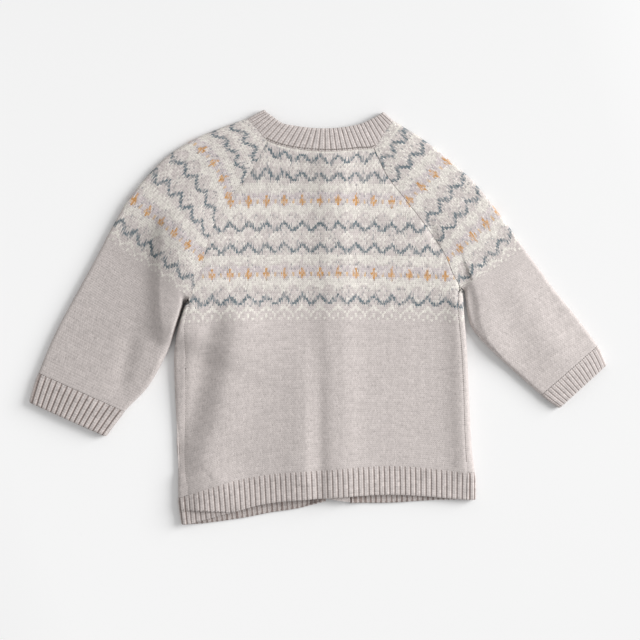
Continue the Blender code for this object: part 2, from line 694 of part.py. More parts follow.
def make_sleeve(side, parts):
    counts = (SLEEVE_TOP_COLUMNS, SLEEVE_FLOOR_COLUMNS, EDGE_CROWDING)
    grid, outs = sleeve_grid(side, SLEEVE_ROWS, counts)
    normals = section_normals(grid, outs)
    normals[:, [0, -1]] = -outs
    normals[0] = neck_points(neck_stops(side, counts), 1)[1]
    is_open = np.array([1.0 if row <= UNDERARM_ROW else 0.0 for row in SLEEVE_ROWS])
    ends = is_open[:, None] > 0
    normals[:, 0] = np.where(ends, UP, normals[:, 0])
    normals[:, -1] = np.where(ends, -UP, normals[:, -1])
    knit_piece("sleeve_" + side, grid, normals, KNIT, "knit", parts,
               ["top", "bottom", "first", "last"], open_rows=is_open)


def make_cuff(side, parts):
    top_columns = 2 * CUFF_RIBS + 1
    rows = [CUFF_ROW, CUFF_ROW + 0.5, CUFF_EDGE_ROW]
    grid, outs = sleeve_grid(side, rows, (top_columns, SLEEVE_FLOOR_COLUMNS, 1.0))
    normals = section_normals(grid, outs)
    normals[:, [0, -1]] = -outs
    ribs = rib_rise(len(rows), grid.shape[1], lambda k: 1 < k < top_columns)
    knit_piece("cuff_" + side, grid, normals, RIB, "rib", parts, ["top"], ribs)


# ---------------------------------------------------------------- neckband and bands

def make_neckband(parts):
    back_columns = 2 * NECK_RIBS + 1
    front = np.linspace(0, LEFT_FOLD, 9)
    stations = np.r_[front, np.linspace(LEFT_FOLD, BACK_START, 5)[1:],
                     np.linspace(BACK_START, BACK_END, back_columns)[1:],
                     np.linspace(BACK_END, RIGHT_START, 5)[1:],
                     np.linspace(RIGHT_START, LAST_STATION, 9)[1:]]
    neck, outs = neck_points(stations, 0)
    seam, _ = neck_points(stations, 1)
    middle = (neck + seam) / 2.0
    grid = np.array([seam, middle, neck])
    normals = np.array([outs, outs, outs])
    first_rib = len(front) + 4
    last_rib = first_rib + back_columns - 1
    ribs = rib_rise(3, len(stations), lambda k: first_rib <= k < last_rib)
    knit_piece("neckband", grid, normals, RIB, "rib", parts, ["top", "first", "last"], ribs)


def make_band(name, z, inset_left, inset_right, parts):
    """A flat strip up the centre front."""
    heights = np.linspace(BAND_HEM[1], BAND_NECK[1], 9)
    left = band_left_edge(heights)
    across = np.linspace(inset_left, BAND_WIDTH - inset_right, 3)
    grid = np.array([[(x + step, y, z) for step in across] for x, y in zip(left, heights)])
    normals = np.broadcast_to(-UP, grid.shape)
    knit_piece(name, grid, normals, KNIT, "band", parts, [])


def make_button(number, parts):
    """A round button under the buttonhole band."""
    share = (number - 0.5) / BUTTON_COUNT
    y = BAND_NECK[1] + (BAND_HEM[1] - BAND_NECK[1]) * share
    x = band_left_edge(y) + BAND_WIDTH / 2.0
    bpy.ops.mesh.primitive_cylinder_add(
        vertices=16, radius=BUTTON_DIAMETER / 2 * MM, depth=BUTTON_THICKNESS * MM,
        location=(x * MM, y * MM, BUTTON_THICKNESS / 2 * MM))
    piece = bpy.context.object
    piece.name = "button_%d" % number
    for collection in piece.users_collection:
        collection.objects.unlink(piece)
    parts.objects.link(piece)
    rim = piece.modifiers.new("rim", 'BEVEL')
    rim.width = 0.5 * MM
    rim.segments = 1
    finish(piece, "button")


def main():
    for old in list(bpy.data.objects):
        bpy.data.objects.remove(old, do_unlink=True)
    parts = bpy.data.collections.new("fair_isle_cardigan")
    bpy.context.scene.collection.children.link(parts)
    make_back(parts)
    make_back_hem(parts)
    for side in ("left", "right"):
        make_front(side, parts)
        make_front_hem(side, parts)
        make_sleeve(side, parts)
        make_cuff(side, parts)
    make_neckband(parts)
    make_band("button_band", BUTTON_BAND_Z, SEAM_GAP / 2, 0.0, parts)
    make_band("buttonhole_band", BUTTONHOLE_BAND_Z, 0.0, SEAM_GAP / 2, parts)
    for number in range(1, BUTTON_COUNT + 1):
        make_button(number, parts)


main()
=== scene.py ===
"""Fair isle cardigan for a baby, laid flat with its back up: the looks of each knitted piece.

Every cloth piece is one thin shell on its solid's form, lifted by the folds and creases in FOLDS.
Where these differ from the solids' the cloth stands off them, by up to 12 mm at the left underarm.
Its faces follow the knitting: two faces to a stitch across and one to a row down, so that the
chart's colours fall on whole stitches with the V-shaped ends that knitting has. Tables are in
millimetres: +X is the side at the right of the picture, +Y points to the neck and +Z points up.
"""

import bpy
import bmesh
import numpy as np
from mathutils import Matrix, Vector


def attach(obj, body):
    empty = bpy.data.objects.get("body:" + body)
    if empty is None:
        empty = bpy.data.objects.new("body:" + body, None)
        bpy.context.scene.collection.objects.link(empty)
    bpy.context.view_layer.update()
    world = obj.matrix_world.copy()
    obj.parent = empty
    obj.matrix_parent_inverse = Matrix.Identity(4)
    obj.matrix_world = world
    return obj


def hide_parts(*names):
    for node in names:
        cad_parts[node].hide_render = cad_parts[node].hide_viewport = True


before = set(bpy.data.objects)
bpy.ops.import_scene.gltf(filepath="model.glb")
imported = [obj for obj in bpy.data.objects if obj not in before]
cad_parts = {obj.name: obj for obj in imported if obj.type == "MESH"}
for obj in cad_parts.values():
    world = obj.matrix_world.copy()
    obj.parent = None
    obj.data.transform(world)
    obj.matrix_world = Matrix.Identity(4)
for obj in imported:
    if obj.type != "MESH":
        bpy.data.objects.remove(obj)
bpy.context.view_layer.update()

bl_info = {
    "name": "Fair isle cardigan",
    "version": (1, 0, 0),
    "blender": (4, 5, 0),
    "location": "3D View > Sidebar > Cardigan",
    "description": "Builds the knitted pieces, the buttons and the stage",
    "category": "Object",
}

MM = 0.001

KNIT = 1.9              # thickness of the solids' plain knit
FOLD_RADIUS = 2.8       # outside radius where the cloth folds over
TOP = 2.0 * FOLD_RADIUS  # height of the upper layer's outside at a fold

BACK_HEM_RIBS = 54
CUFF_RIBS = 16
NECK_RIBS = 32
BUTTON_COUNT = 6
BUTTON_DIAMETER = 11.5
BUTTON_THICKNESS = 2.4
BAND_WIDTH = 21.5
LAYER_GAP = 0.35        # between two pieces that lie on each other
MERGE = 0.08            # points closer than this become one
SHARP_ANGLE = 0.9       # edges that bend by more than this, in radians, are not shaded smooth
BUTTONHOLE_BAND_Z = BUTTON_THICKNESS + LAYER_GAP
BUTTON_BAND_Z = BUTTONHOLE_BAND_Z + KNIT + LAYER_GAP

# Body, a row for each level from the neck to the hem's edge.
# left x, y and right x, y of the back's edge: rows 0 to 6 raglan seam, rows 7 to 14 side seam.
BACK_EDGES = [
    (-44.5, 156.0, 49.5, 149.5),
    (-60.0, 126.5, 61.0, 125.0),
    (-78.0, 104.5, 78.0, 103.0),
    (-91.5, 80.5, 96.5, 79.0),
    (-99.0, 55.0, 111.0, 57.5),
    (-104.5, 34.5, 118.5, 40.0),
    (-112.4, 17.5, 124.6, 27.5),
    (-112.6, 11.0, 123.8, 20.0),
    (-116.5, -9.0, 124.0, 0.0),
    (-116.5, -31.0, 126.0, -22.0),
    (-116.5, -66.5, 128.0, -58.0),
    (-117.5, -103.5, 129.0, -90.0),
    (-117.0, -134.0, 130.0, -115.0),
    (-114.0, -157.0, 131.5, -137.5),
    (-112.0, -182.5, 131.5, -161.5),
]
# The fronts' outer edge, left x, y and right x, y: rows 0 to 6 raglan seam on the lower layer,
# rows 7 to 14 side fold.
FRONT_EDGES = [
    (-49.5, 146.0, 58.5, 144.5),
    (-63.0, 119.5, 69.0, 118.5),
    (-77.0, 97.5, 82.5, 96.5),
    (-89.5, 75.5, 98.5, 75.5),
    (-99.0, 52.5, 111.5, 55.0),
    (-105.5, 33.5, 118.5, 39.0),
    (-113.5, 17.5, 125.5, 27.5),
    (-116.7, 11.0, 128.0, 21.0),
    (-123.0, -9.0, 129.5, 0.0),
    (-127.0, -31.0, 131.3, -22.0),
    (-126.5, -66.5, 133.0, -58.0),
    (-124.5, -103.5, 134.5, -90.0),
    (-123.5, -135.5, 135.8, -115.0),
    (-123.5, -159.5, 138.5, -137.5),
    (-120.0, -183.5, 139.0, -161.5),
]
UNDERARM_ROW = 6
TUBE_ROW = 7
HEM_ROW = 13
HEM_EDGE_ROW = 14

# Hem lines, x, y from left to right.
BACK_HEM_SEAM = [(-114.0, -157.0), (-79.5, -146.0), (-44.5, -139.0),
                 (5.5, -135.0), (68.0, -131.5), (131.5, -137.5)]
BACK_HEM_EDGE = [(-112.0, -182.5), (-79.5, -173.5), (-44.5, -164.5),
                 (5.5, -160.0), (68.0, -157.0), (131.5, -161.5)]
LEFT_HEM_SEAM = [(-123.5, -159.5), (-104.5, -158.5), (-69.0, -152.5), (-42.5, -147.0),
                 (-16.0, -142.5), (7.0, -138.0)]
LEFT_HEM_EDGE = [(-120.0, -183.5), (-104.5, -182.8), (-69.0, -178.0), (-42.5, -173.0),
                 (-16.0, -169.0), (7.0, -162.5)]
RIGHT_HEM_SEAM = [(28.5, -141.0), (64.0, -141.0), (88.5, -140.0), (108.0, -139.0),
                  (138.5, -137.5)]
RIGHT_HEM_EDGE = [(28.5, -164.5), (64.0, -164.5), (88.5, -163.0), (108.0, -162.0),
                  (139.0, -161.5)]

# Neckband, a row for each station: neck edge x, y, then seam edge x, y.
NECK_BACK = [
    (-47.0, 183.5, -62.0, 175.5),
    (-40.0, 177.0, -53.0, 165.5),
    (-31.0, 171.0, -44.5, 156.0),
    (-18.5, 168.5, -30.0, 150.5),
    (-6.0, 167.0, -13.5, 147.5),
    (6.0, 166.5, 6.0, 146.0),
    (17.5, 167.0, 22.0, 146.5),
    (28.5, 168.5, 37.0, 148.0),
    (39.0, 171.0, 49.5, 149.5),
    (48.5, 175.5, 58.0, 161.5),
    (57.5, 181.5, 66.5, 173.5),
]
NECK_LEFT_FRONT = [
    (-47.0, 183.5, -62.0, 175.5),
    (-44.5, 171.0, -58.5, 160.5),
    (-37.0, 157.0, -49.5, 146.0),
    (-25.0, 145.5, -33.5, 131.0),
    (-11.5, 138.0, -16.0, 122.5),
    (3.5, 135.5, 3.5, 118.0),
]
NECK_RIGHT_FRONT = [
    (57.5, 181.5, 66.5, 173.5),
    (56.0, 169.0, 64.5, 158.5),
    (50.5, 157.0, 58.5, 144.5),
    (41.0, 145.5, 47.0, 130.0),
    (33.0, 140.0, 36.5, 123.0),
    (25.0, 136.5, 25.0, 118.5),
]
RAGLAN_STATION_BACK = 2     # row of NECK_BACK and, from its other end, where a raglan seam starts
RAGLAN_STATION_FRONT = 2    # row of the front tables where a front raglan seam starts

# Sleeves' outer folds, left x, y and right x, y, a row for each section. Rows 0 to 6 are open
# raglan heads, rows 7 to 11 are a tube and row 12 is the cuff's edge.
SLEEVE_FOLDS = [
    (-62.0, 175.5, 66.5, 173.5),
    (-87.5, 166.5, 91.0, 158.5),
    (-112.5, 155.5, 114.5, 140.0),
    (-137.5, 138.5, 139.0, 118.0),
    (-164.0, 109.0, 161.5, 89.5),
    (-175.5, 91.0, 172.5, 74.5),
    (-187.0, 70.0, 183.5, 58.5),
    (-190.5, 63.0, 188.0, 52.5),
    (-202.0, 41.5, 198.0, 39.0),
    (-215.5, 17.0, 209.0, 24.0),
    (-233.0, -16.0, 231.0, -3.5),
    (-247.0, -49.5, 247.0, -25.5),
    (-255.0, -75.5, 255.0, -42.5),
]
# Their inner folds, left x, y and radius, right x, y and radius, for rows 7 to 12.
SLEEVE_INNERS = [
    (-118.2, 10.5, 2.8, 129.7, 23.0, 2.8),
    (-124.7, -9.0, 3.4, 132.2, 3.5, 2.8),
    (-133.0, -31.0, 4.0, 138.5, -13.5, 3.0),
    (-150.0, -61.5, 3.2, 165.5, -41.0, 3.0),
    (-171.0, -83.5, 2.8, 197.5, -69.0, 2.8),
    (-188.0, -105.5, 2.8, 213.5, -80.5, 2.8),
]
CUFF_ROW = 11
CUFF_EDGE_ROW = 12

# The button bands' left edge at the neck and at the hem.
BAND_NECK = (3.5, 135.0)
BAND_HEM = (7.0, -163.0)

# Folds and creases of the upper layer: rise, reach to the left and to the right of the line, the
# shares of the line over which its start and end fade, and the line. A negative rise is a trough
# and a tent has straight sides. They add up where they cross. The first eight are also in the
# solids, some with other rises and reaches, and the rest are in the looks only.
FOLDS = [
    dict(name="left body ridge", rise=4.2, left=15.0, right=22.0, taper=(0.15, 0.0),
         line=[(-66.0, 24.0), (-74.0, -29.0), (-80.0, -60.0), (-87.0, -91.5), (-98.0, -122.5),
               (-101.0, -171.0)]),
    dict(name="left underarm crest", rise=5.2, left=20.0, right=80.0, taper=(0.2, 0.15),
         line=[(-117.0, 110.0), (-118.0, 62.0), (-119.0, 30.0), (-122.0, -4.0), (-131.0, -28.0)]),
    dict(name="left sleeve crease", rise=-0.9, left=9.0, right=9.0,
         line=[(-160.0, -8.0), (-177.0, -58.0)]),
    dict(name="fold beside the bands", rise=0.9, left=14.0, right=8.0, taper=(0.3, 0.0),
         line=[(-13.5, -8.0), (-13.5, -148.0)]),
    dict(name="right edge swell", rise=2.2, left=9.0, right=8.0,
         line=[(122.0, 12.0), (126.0, -29.0), (126.5, -73.5), (129.0, -135.0)]),
    dict(name="right underarm crest", rise=2.8, left=5.0, right=17.0,
         line=[(137.0, 30.0), (142.0, 16.0), (144.5, -6.0), (154.0, -26.0)]),
    dict(name="right sleeve swell", rise=1.5, left=16.0, right=16.0,
         line=[(172.0, 28.0), (212.0, -34.0)]),
    dict(name="left hem swell", rise=2.0, left=12.0, right=18.0,
         line=[(-84.0, -150.0), (-62.0, -172.0)]),
    dict(name="left sleeve step", rise=5.6, left=6.5, right=70.0, taper=(0.25, 0.2),
         line=[(-132.0, 100.0), (-136.0, 62.0), (-137.5, 37.0), (-137.5, 11.0), (-134.5, -16.0),
               (-133.0, -34.0)]),
    dict(name="left sleeve tilt", rise=3.0, left=72.0, right=120.0, taper=(0.25, 0.3), tent=True,
         line=[(-104.0, 125.0), (-112.0, 60.0), (-117.0, 20.0), (-134.0, -30.0), (-162.0, -85.0)]),
    dict(name="left elbow crease", rise=-1.2, left=7.0, right=7.0, taper=(0.3, 0.3),
         line=[(-162.0, -11.0), (-169.0, -40.0), (-175.0, -70.0)]),
    dict(name="left body valley", rise=-2.7, left=9.0, right=12.0, taper=(0.25, 0.05),
         line=[(-86.0, 25.0), (-97.0, -29.0), (-104.0, -60.0), (-112.0, -91.0), (-121.0, -118.0),
               (-125.0, -142.0)]),
    dict(name="left side edge", rise=-2.0, left=9.0, right=9.0, taper=(0.2, 0.1),
         line=[(-126.0, -15.0), (-128.0, -60.0), (-131.0, -130.0)]),
    dict(name="swell left of the bands", rise=2.4, left=40.0, right=10.0, taper=(0.8, 0.0),
         line=[(-16.0, 10.0), (-13.0, -60.0), (-12.0, -172.0)]),
    dict(name="valley beside the bands", rise=-0.9, left=7.0, right=5.0, taper=(0.7, 0.0),
         line=[(4.0, 15.0), (3.2, -60.0), (2.7, -172.0)]),
    dict(name="right edge rise", rise=2.0, left=19.0, right=9.0, taper=(0.2, 0.2),
         line=[(114.0, 62.0), (121.0, 20.0), (125.0, -20.0), (127.0, -75.0), (129.0, -150.0)]),
    dict(name="above the right hem", rise=-1.0, left=8.0, right=10.0, taper=(0.3, 0.3),
         line=[(40.0, -133.0), (70.0, -138.0), (100.0, -140.0)]),
    dict(name="right raglan dent", rise=-1.5, left=4.0, right=4.0, taper=(0.4, 0.4),
         line=[(96.0, 90.0), (108.0, 54.0)]),
]
DOME = 0.9              # the upper layer's soft swell between its edges
BAND_SWELL = 3.7        # how far the bands lift the back
BAND_SWELL_REACH = 18.0
BAND_SLOPE = 17.0       # width over which a front climbs to its band

ARC_COLUMNS = 9
SWELL_POWER = 3         # how square the swell over the bands is
TURN_STEPS = 15         # points that a fold is worked out from
UNDERARM_TURN = 0.35    # how far round its fold a front has come at the underarm
FINE_STEPS = 60         # points that a front's section is worked out from
EDGE_CROWDING = 1.6     # how much closer columns stand near a tube's inner fold
FLAT_SIDE = 12.0        # width of a front's outermost columns where it does not turn up
NECK_LEVEL = 152.0      # the bands' swell ends at this height up the back
NECK_FADE = 16.0        # over this length

UP = np.array([0.0, 0.0, 1.0])


def unit(vectors):
    """The vectors at length one."""
    return vectors / np.maximum(np.linalg.norm(vectors, axis=-1, keepdims=True), 1e-9)


def smooth(x):
    """0 to 1 with soft ends."""
    x = np.clip(x, 0.0, 1.0)
    return x * x * (3.0 - 2.0 * x)


def along_table(table, at):
    """Values on a smooth curve through a table's rows, at fractional row numbers."""
    rows = np.asarray(table, float)
    at = np.clip(np.atleast_1d(np.asarray(at, float)), 0, len(rows) - 1)
    k = np.minimum(at.astype(int), len(rows) - 2)
    t = (at - k)[:, None]
    before, here = rows[np.maximum(k - 1, 0)], rows[k]
    after, beyond = rows[k + 1], rows[np.minimum(k + 2, len(rows) - 1)]
    linear = (after - before) * t
    square = (2.0 * before - 5.0 * here + 4.0 * after - beyond) * t ** 2
    cube = (3.0 * here - before - 3.0 * after + beyond) * t ** 3
    return here + 0.5 * (linear + square + cube)


def along_line(points, count):
    """Points evenly spaced on a smooth curve through a few points."""
    fine = along_table(points, np.linspace(0, len(points) - 1, 200))
    run = np.r_[0.0, np.cumsum(np.linalg.norm(np.diff(fine, axis=0), axis=1))]
    wanted = np.linspace(0.0, run[-1], count)
    return np.stack([np.interp(wanted, run, fine[:, k]) for k in range(fine.shape[1])], axis=1)


def resample(points, stops):
    """Points at given distances along a polyline."""
    run = np.r_[0.0, np.cumsum(np.linalg.norm(np.diff(points, axis=0), axis=1))]
    return np.stack([np.interp(stops, run, points[:, k]) for k in range(3)], axis=1)


def patch(top, bottom, first, last, across, down):
    """A sheet between four edges, in plan: rows go down, columns go across."""
    u, v = across[None, :, None], down[:, None, None]
    edges = (1 - v) * top[None] + v * bottom[None] + (1 - u) * first[:, None] + u * last[:, None]
    corners = ((1 - v) * ((1 - u) * top[0] + u * top[-1])
               + v * ((1 - u) * bottom[0] + u * bottom[-1]))
    return edges - corners


def fold_lift(x, y):
    """How far the folds lift the upper layer at a place in plan."""
    lift = np.zeros(np.shape(x))
    for fold in FOLDS:
        line = along_line(fold["line"], 24)
        nearest = np.full(np.shape(x), 1e9)
        side = np.zeros(np.shape(x))
        along = np.zeros(np.shape(x))
        for k, (a, b) in enumerate(zip(line[:-1], line[1:])):
            run = b - a
            t = np.clip(((x - a[0]) * run[0] + (y - a[1]) * run[1]) / run.dot(run), 0.0, 1.0)
            dx, dy = x - a[0] - t * run[0], y - a[1] - t * run[1]
            distance = np.hypot(dx, dy)
            closer = distance < nearest
            nearest = np.where(closer, distance, nearest)
            side = np.where(closer, run[0] * dy - run[1] * dx, side)
            along = np.where(closer, (k + t) / (len(line) - 1.0), along)
        reach = np.where(side > 0, fold["right"], fold["left"])
        start, end = np.maximum(fold.get("taper", (0.0, 0.0)), 1e-6)
        fade = smooth(along / start) * smooth((1.0 - along) / end) if "taper" in fold else 1.0
        lift += fold["rise"] * fade * np.where(fold.get("tent", False),
                                               np.maximum(1.0 - nearest / reach, 0.0),
                                               np.exp(-(nearest / reach) ** 2))
    return lift


def band_left_edge(y):
    """X of the button bands' left edge at a height up the front."""
    share = (y - BAND_HEM[1]) / (BAND_NECK[1] - BAND_HEM[1])
    return BAND_HEM[0] + (BAND_NECK[0] - BAND_HEM[0]) * share


def front_rise(x, y, side):
    """Height of a front's underside, which climbs to its band at the centre front."""
    edge = band_left_edge(y)
    if side == "left":
        return BUTTON_BAND_Z * smooth(1.0 - (edge - x) / BAND_SLOPE)
    return BUTTONHOLE_BAND_Z * smooth(1.0 - (x - edge - BAND_WIDTH) / BAND_SLOPE)


def fit_to_centre(x, y, fine, left):
    """Slide the floor columns so that the first ends on the band's edge."""
    edge = band_left_edge(y[:, :1]) + (0.0 if left else BAND_WIDTH)
    return x + (edge - x[:, :1]) * (1.0 - fine[None, :]) ** 2


def band_swell(x, y):
    """How far the overlapped button bands lift the back."""
    middle = band_left_edge(y) + BAND_WIDTH / 2.0
    below_neck = smooth((NECK_LEVEL - y) / NECK_FADE)
    return BAND_SWELL * below_neck / (1.0 + (np.abs(x - middle) / BAND_SWELL_REACH) ** SWELL_POWER)


def upper_lift(x, y):
    """All that lifts the upper layer above its plain height."""
    return fold_lift(x, y) + band_swell(x, y)


def section_normals(grid, outward):
    """Directions out of the cloth in each row's own upright section."""
    run = np.gradient(grid, axis=1)
    level = (run * outward).sum(axis=2, keepdims=True)
    return unit(level * UP - run[:, :, 2:3] * outward)


def add_lift(grid, upper_columns=None):
    """Lift the upper layer by its folds, fading to nothing half way round each turned edge."""
    part = grid[:, :upper_columns]
    share = smooth((part[:, :, 2] - FOLD_RADIUS) / FOLD_RADIUS)
    part[:, :, 2] += share * upper_lift(part[:, :, 0], part[:, :, 1])
    return grid


def fold_out(row):
    """Level direction out of the neckband's fold at a shoulder."""
    along = unit(np.array([row[2] - row[0], row[3] - row[1]]))
    out = np.array([along[1], -along[0]])
    return out if out[1] > 0 else -out


def neck_stations():
    """Neck edge and seam edge at the neckband's whole stations, and each shoulder's way out."""
    left_out, right_out = fold_out(NECK_BACK[0]), fold_out(NECK_BACK[-1])
    left, back, right = (np.array(rows)
                         for rows in (NECK_LEFT_FRONT, NECK_BACK, NECK_RIGHT_FRONT))
    pull_left = FOLD_RADIUS * np.r_[left_out, left_out]
    pull_right = FOLD_RADIUS * np.r_[right_out, right_out]
    back[0] -= pull_left
    left[0] -= pull_left
    back[-1] -= pull_right
    right[0] -= pull_right
    return left, back, right, left_out, right_out


LEFT_FOLD = len(NECK_LEFT_FRONT) - 1        # station where the left shoulder fold starts
BACK_START = LEFT_FOLD + 1                  # and ends
BACK_END = BACK_START + len(NECK_BACK) - 1
RIGHT_START = BACK_END + 1
LAST_STATION = RIGHT_START + len(NECK_RIGHT_FRONT) - 1
RAGLAN_BACK_LEFT = BACK_START + RAGLAN_STATION_BACK
RAGLAN_BACK_RIGHT = BACK_END - RAGLAN_STATION_BACK
RAGLAN_FRONT_LEFT = LEFT_FOLD - RAGLAN_STATION_FRONT
RAGLAN_FRONT_RIGHT = RIGHT_START + RAGLAN_STATION_FRONT


def neck_points(stations, edge):
    """Points and outward directions on the neckband's neck edge (0) or seam edge (1)."""
    left, back, right, left_out, right_out = neck_stations()
    columns = slice(2 * edge, 2 * edge + 2)
    points, outs = [], []
    for s in stations:
        if s <= LEFT_FOLD:
            plan = along_table(left[:, columns], LEFT_FOLD - s)[0]
            z, out = front_rise(plan[0], plan[1], "left"), -UP
        elif s < BACK_START:
            angle = np.pi * (s - LEFT_FOLD) - np.pi / 2
            plan = left[0, columns] + FOLD_RADIUS * np.cos(angle) * left_out
            z = FOLD_RADIUS * (1 + np.sin(angle))
            out = np.r_[np.cos(angle) * left_out, np.sin(angle)]
        elif s <= BACK_END:
            plan = along_table(back[:, columns], s - BACK_START)[0]
            z, out = TOP, UP
        elif s < RIGHT_START:
            angle = np.pi / 2 - np.pi * (s - BACK_END)
            plan = right[0, columns] + FOLD_RADIUS * np.cos(angle) * right_out
            z = FOLD_RADIUS * (1 + np.sin(angle))
            out = np.r_[np.cos(angle) * right_out, np.sin(angle)]
        else:
            plan = along_table(right[:, columns], s - RIGHT_START)[0]
            z, out = front_rise(plan[0], plan[1], "right"), -UP
        points.append((plan[0], plan[1], z))
        outs.append(out)
    points, outs = np.array(points), np.array(outs)
    share = smooth(outs[:, 2])
    points[:, 2] += share * upper_lift(points[:, 0], points[:, 1])
    return points, outs


def turned_section(flat, edge, seam, turn, out, counts):
    """One front section, from the side seam round the side fold and along the floor.

    flat is the floor line from the centre outwards, edge the outermost point in plan, seam the
    side seam's place, and turn is 1 where the cloth goes all round the side fold, less where it
    ends on the way, and 0 where it ends on the floor.
    """
    side_columns, floor_columns = counts
    floor_length = np.linalg.norm(np.diff(flat, axis=0), axis=1).sum()
    line, knee = flat, floor_length - FLAT_SIDE * (1.0 - turn)
    if turn:
        angles = np.linspace(0, np.pi * turn, TURN_STEPS) - np.pi / 2
        level = np.outer(np.cos(angles) - 1.0, out[:2]) * FOLD_RADIUS
        arc = np.column_stack([edge + level, FOLD_RADIUS * (1 + np.sin(angles))])
        line = np.vstack([flat, arc[1:]])
    if turn == 1:
        line = np.vstack([line, np.r_[seam, TOP]])
    whole = np.linalg.norm(np.diff(line, axis=0), axis=1).sum()
    stops = np.r_[np.linspace(0, knee, floor_columns),
                  np.linspace(knee, whole, side_columns + 1)[1:]]
    return resample(line, stops)[::-1]


def front_turn(row):
    """Share of the side fold that a front goes round at a row."""
    if row < UNDERARM_ROW:
        return 0.0
    return min(1.0, UNDERARM_TURN + (1.0 - UNDERARM_TURN) * (row - UNDERARM_ROW))


def sleeve_section(fold, inner, front, radius, tube, counts):
    """One sleeve section: from the inner edge over the top, round the outer fold and back."""
    top_columns, floor_columns, crowding = counts
    out = unit(fold - (inner + front) / 2.0)
    angles = np.linspace(np.pi / 2, -np.pi / 2, TURN_STEPS)
    arc = np.column_stack([fold + FOLD_RADIUS * np.outer(np.cos(angles) - 1.0, out),
                           FOLD_RADIUS * (1 + np.sin(angles))])
    quarter = np.linspace(0, np.pi / 2, TURN_STEPS // 2 + 1)
    start = np.column_stack([inner + radius * np.outer(1.0 - np.cos(quarter), out),
                             radius * (1 + np.sin(quarter))])
    end = start * np.array([1.0, 1.0, -1.0]) + np.array([0.0, 0.0, 2.0 * radius])
    if not tube:
        start = np.array([[inner[0], inner[1], TOP]])
        end = np.array([[front[0], front[1], 0.0]])
    reach = np.linspace(0, 1, 20)[1:-1, None]
    over = start[-1] + (arc[0] - start[-1]) * reach
    over[:, 2] += DOME * np.sin(np.pi * reach[:, 0])
    under = arc[-1] + (end[-1] - arc[-1]) * reach
    upper = np.vstack([start, over, arc[:1]])
    lower = np.vstack([arc[-1:], under, end[::-1]])
    pieces = [(upper, top_columns), (arc, ARC_COLUMNS), (lower, floor_columns)]
    made = []
    for line, columns in pieces:
        length = np.linalg.norm(np.diff(line, axis=0), axis=1).sum()
        spread = np.linspace(0, 1, columns)
        if tube and line is upper:
            spread = spread ** crowding
        if tube and line is lower:
            spread = 1.0 - (1.0 - spread) ** EDGE_CROWDING
        made.append(resample(line, spread * length))
    return np.vstack([made[0], made[1][1:], made[2][1:]]), out


def neck_stops(side, counts):
    """Stations of the neck seam under a sleeve's columns."""
    top_columns, floor_columns, _ = counts
    if side == "left":
        marks = (RAGLAN_BACK_LEFT, BACK_START, LEFT_FOLD, RAGLAN_FRONT_LEFT)
    else:
        marks = (RAGLAN_BACK_RIGHT, BACK_END, RIGHT_START, RAGLAN_FRONT_RIGHT)
    return np.r_[np.linspace(marks[0], marks[1], top_columns),
                 np.linspace(marks[1], marks[2], ARC_COLUMNS)[1:],
                 np.linspace(marks[2], marks[3], floor_columns)[1:]]


def join_to_neck(grid, side, rows, counts):
    """Move the sleeve's first sections so that they start on the neckband's seam."""
    seam = neck_points(neck_stops(side, counts), 1)[0]
    step = seam - grid[0]
    for k, row in enumerate(rows):
        grid[k] += step * max(0.0, 1.0 - row)
    return grid


# ---------------------------------------------------------------- knitting

ORANGE_LEVEL = 104.0    # height up the back of the chart's row 0, the upper row of ochre stars
STAR_X = 0.9            # a column of stars stands here on the back
ROW_DROOP = 2.2         # how far a row hangs at 100 mm from the middle of the back
FIRST_ROW = -22         # the chart's row at the back's neck
LAST_ROW = 126          # and at its hem
REPEAT = 8              # stitches in a repeat of the chart

# The chart. Each motif has a yarn, the row of its first line and, for each of its rows, the
# stitches it takes, counted as the distance from the repeat's middle stitch, 0 to 4.
CHEVRON = ["0", "01", "12", "23", "34"]
LOW_CHEVRON = ["01", "12", "23", "34"]
WAVE_BELOW = ["4", "1234", "01234", "1234", "234", "4"]
WAVE_ABOVE = ["34", "1234", "01234", "01234", "012", "01", "0"]
SEEDS = ["4", "3", "24", "3", "4"]
STAR = ["0", "0", "01", "0", "0"]
STAR_ARMS = ["1"]
DOT = ["4", "4"]
MOTIFS = [
    dict(name="seeds at the neckband", yarn="cream", first=-25, rows=["13", "024", "13"]),
    dict(name="line at the neckband", yarn="cream", first=-22, rows=["01234"]),
    dict(name="zigzag 1", yarn="blue", first=-20, rows=LOW_CHEVRON),
    dict(name="seeds 1", yarn="cream", first=-16, rows=["13", "024", "13"]),
    dict(name="zigzag 2", yarn="blue", first=-12, rows=LOW_CHEVRON),
    dict(name="wave 1", yarn="cream", first=-8, rows=WAVE_BELOW),
    dict(name="stars 1", yarn="ochre", first=-2, rows=STAR),
    dict(name="star arms 1", yarn="pale_ochre", first=1, rows=STAR_ARMS),
    dict(name="dots 1", yarn="pale_ochre", first=0, rows=DOT),
    dict(name="wave 2", yarn="cream", first=2, rows=WAVE_ABOVE),
    dict(name="zigzag 3", yarn="blue", first=10, rows=CHEVRON),
    dict(name="seeds 2", yarn="cream", first=15, rows=SEEDS),
    dict(name="zigzag 4", yarn="blue", first=20, rows=CHEVRON),
    dict(name="wave 3", yarn="cream", first=25, rows=WAVE_BELOW),
    dict(name="stars 2", yarn="ochre", first=32, rows=STAR),
    dict(name="star arms 2", yarn="pale_ochre", first=35, rows=STAR_ARMS),
    dict(name="dots 2", yarn="pale_ochre", first=34, rows=DOT),
    dict(name="wave 4", yarn="cream", first=36, rows=WAVE_ABOVE),
    dict(name="zigzag 5", yarn="blue", first=44, rows=CHEVRON),
    dict(name="ticks 1", yarn="cream", first=49, rows=["0", "01", "12", "3"]),
    dict(name="ticks 2", yarn="cream", first=53, rows=["04", "04", "2"]),
]
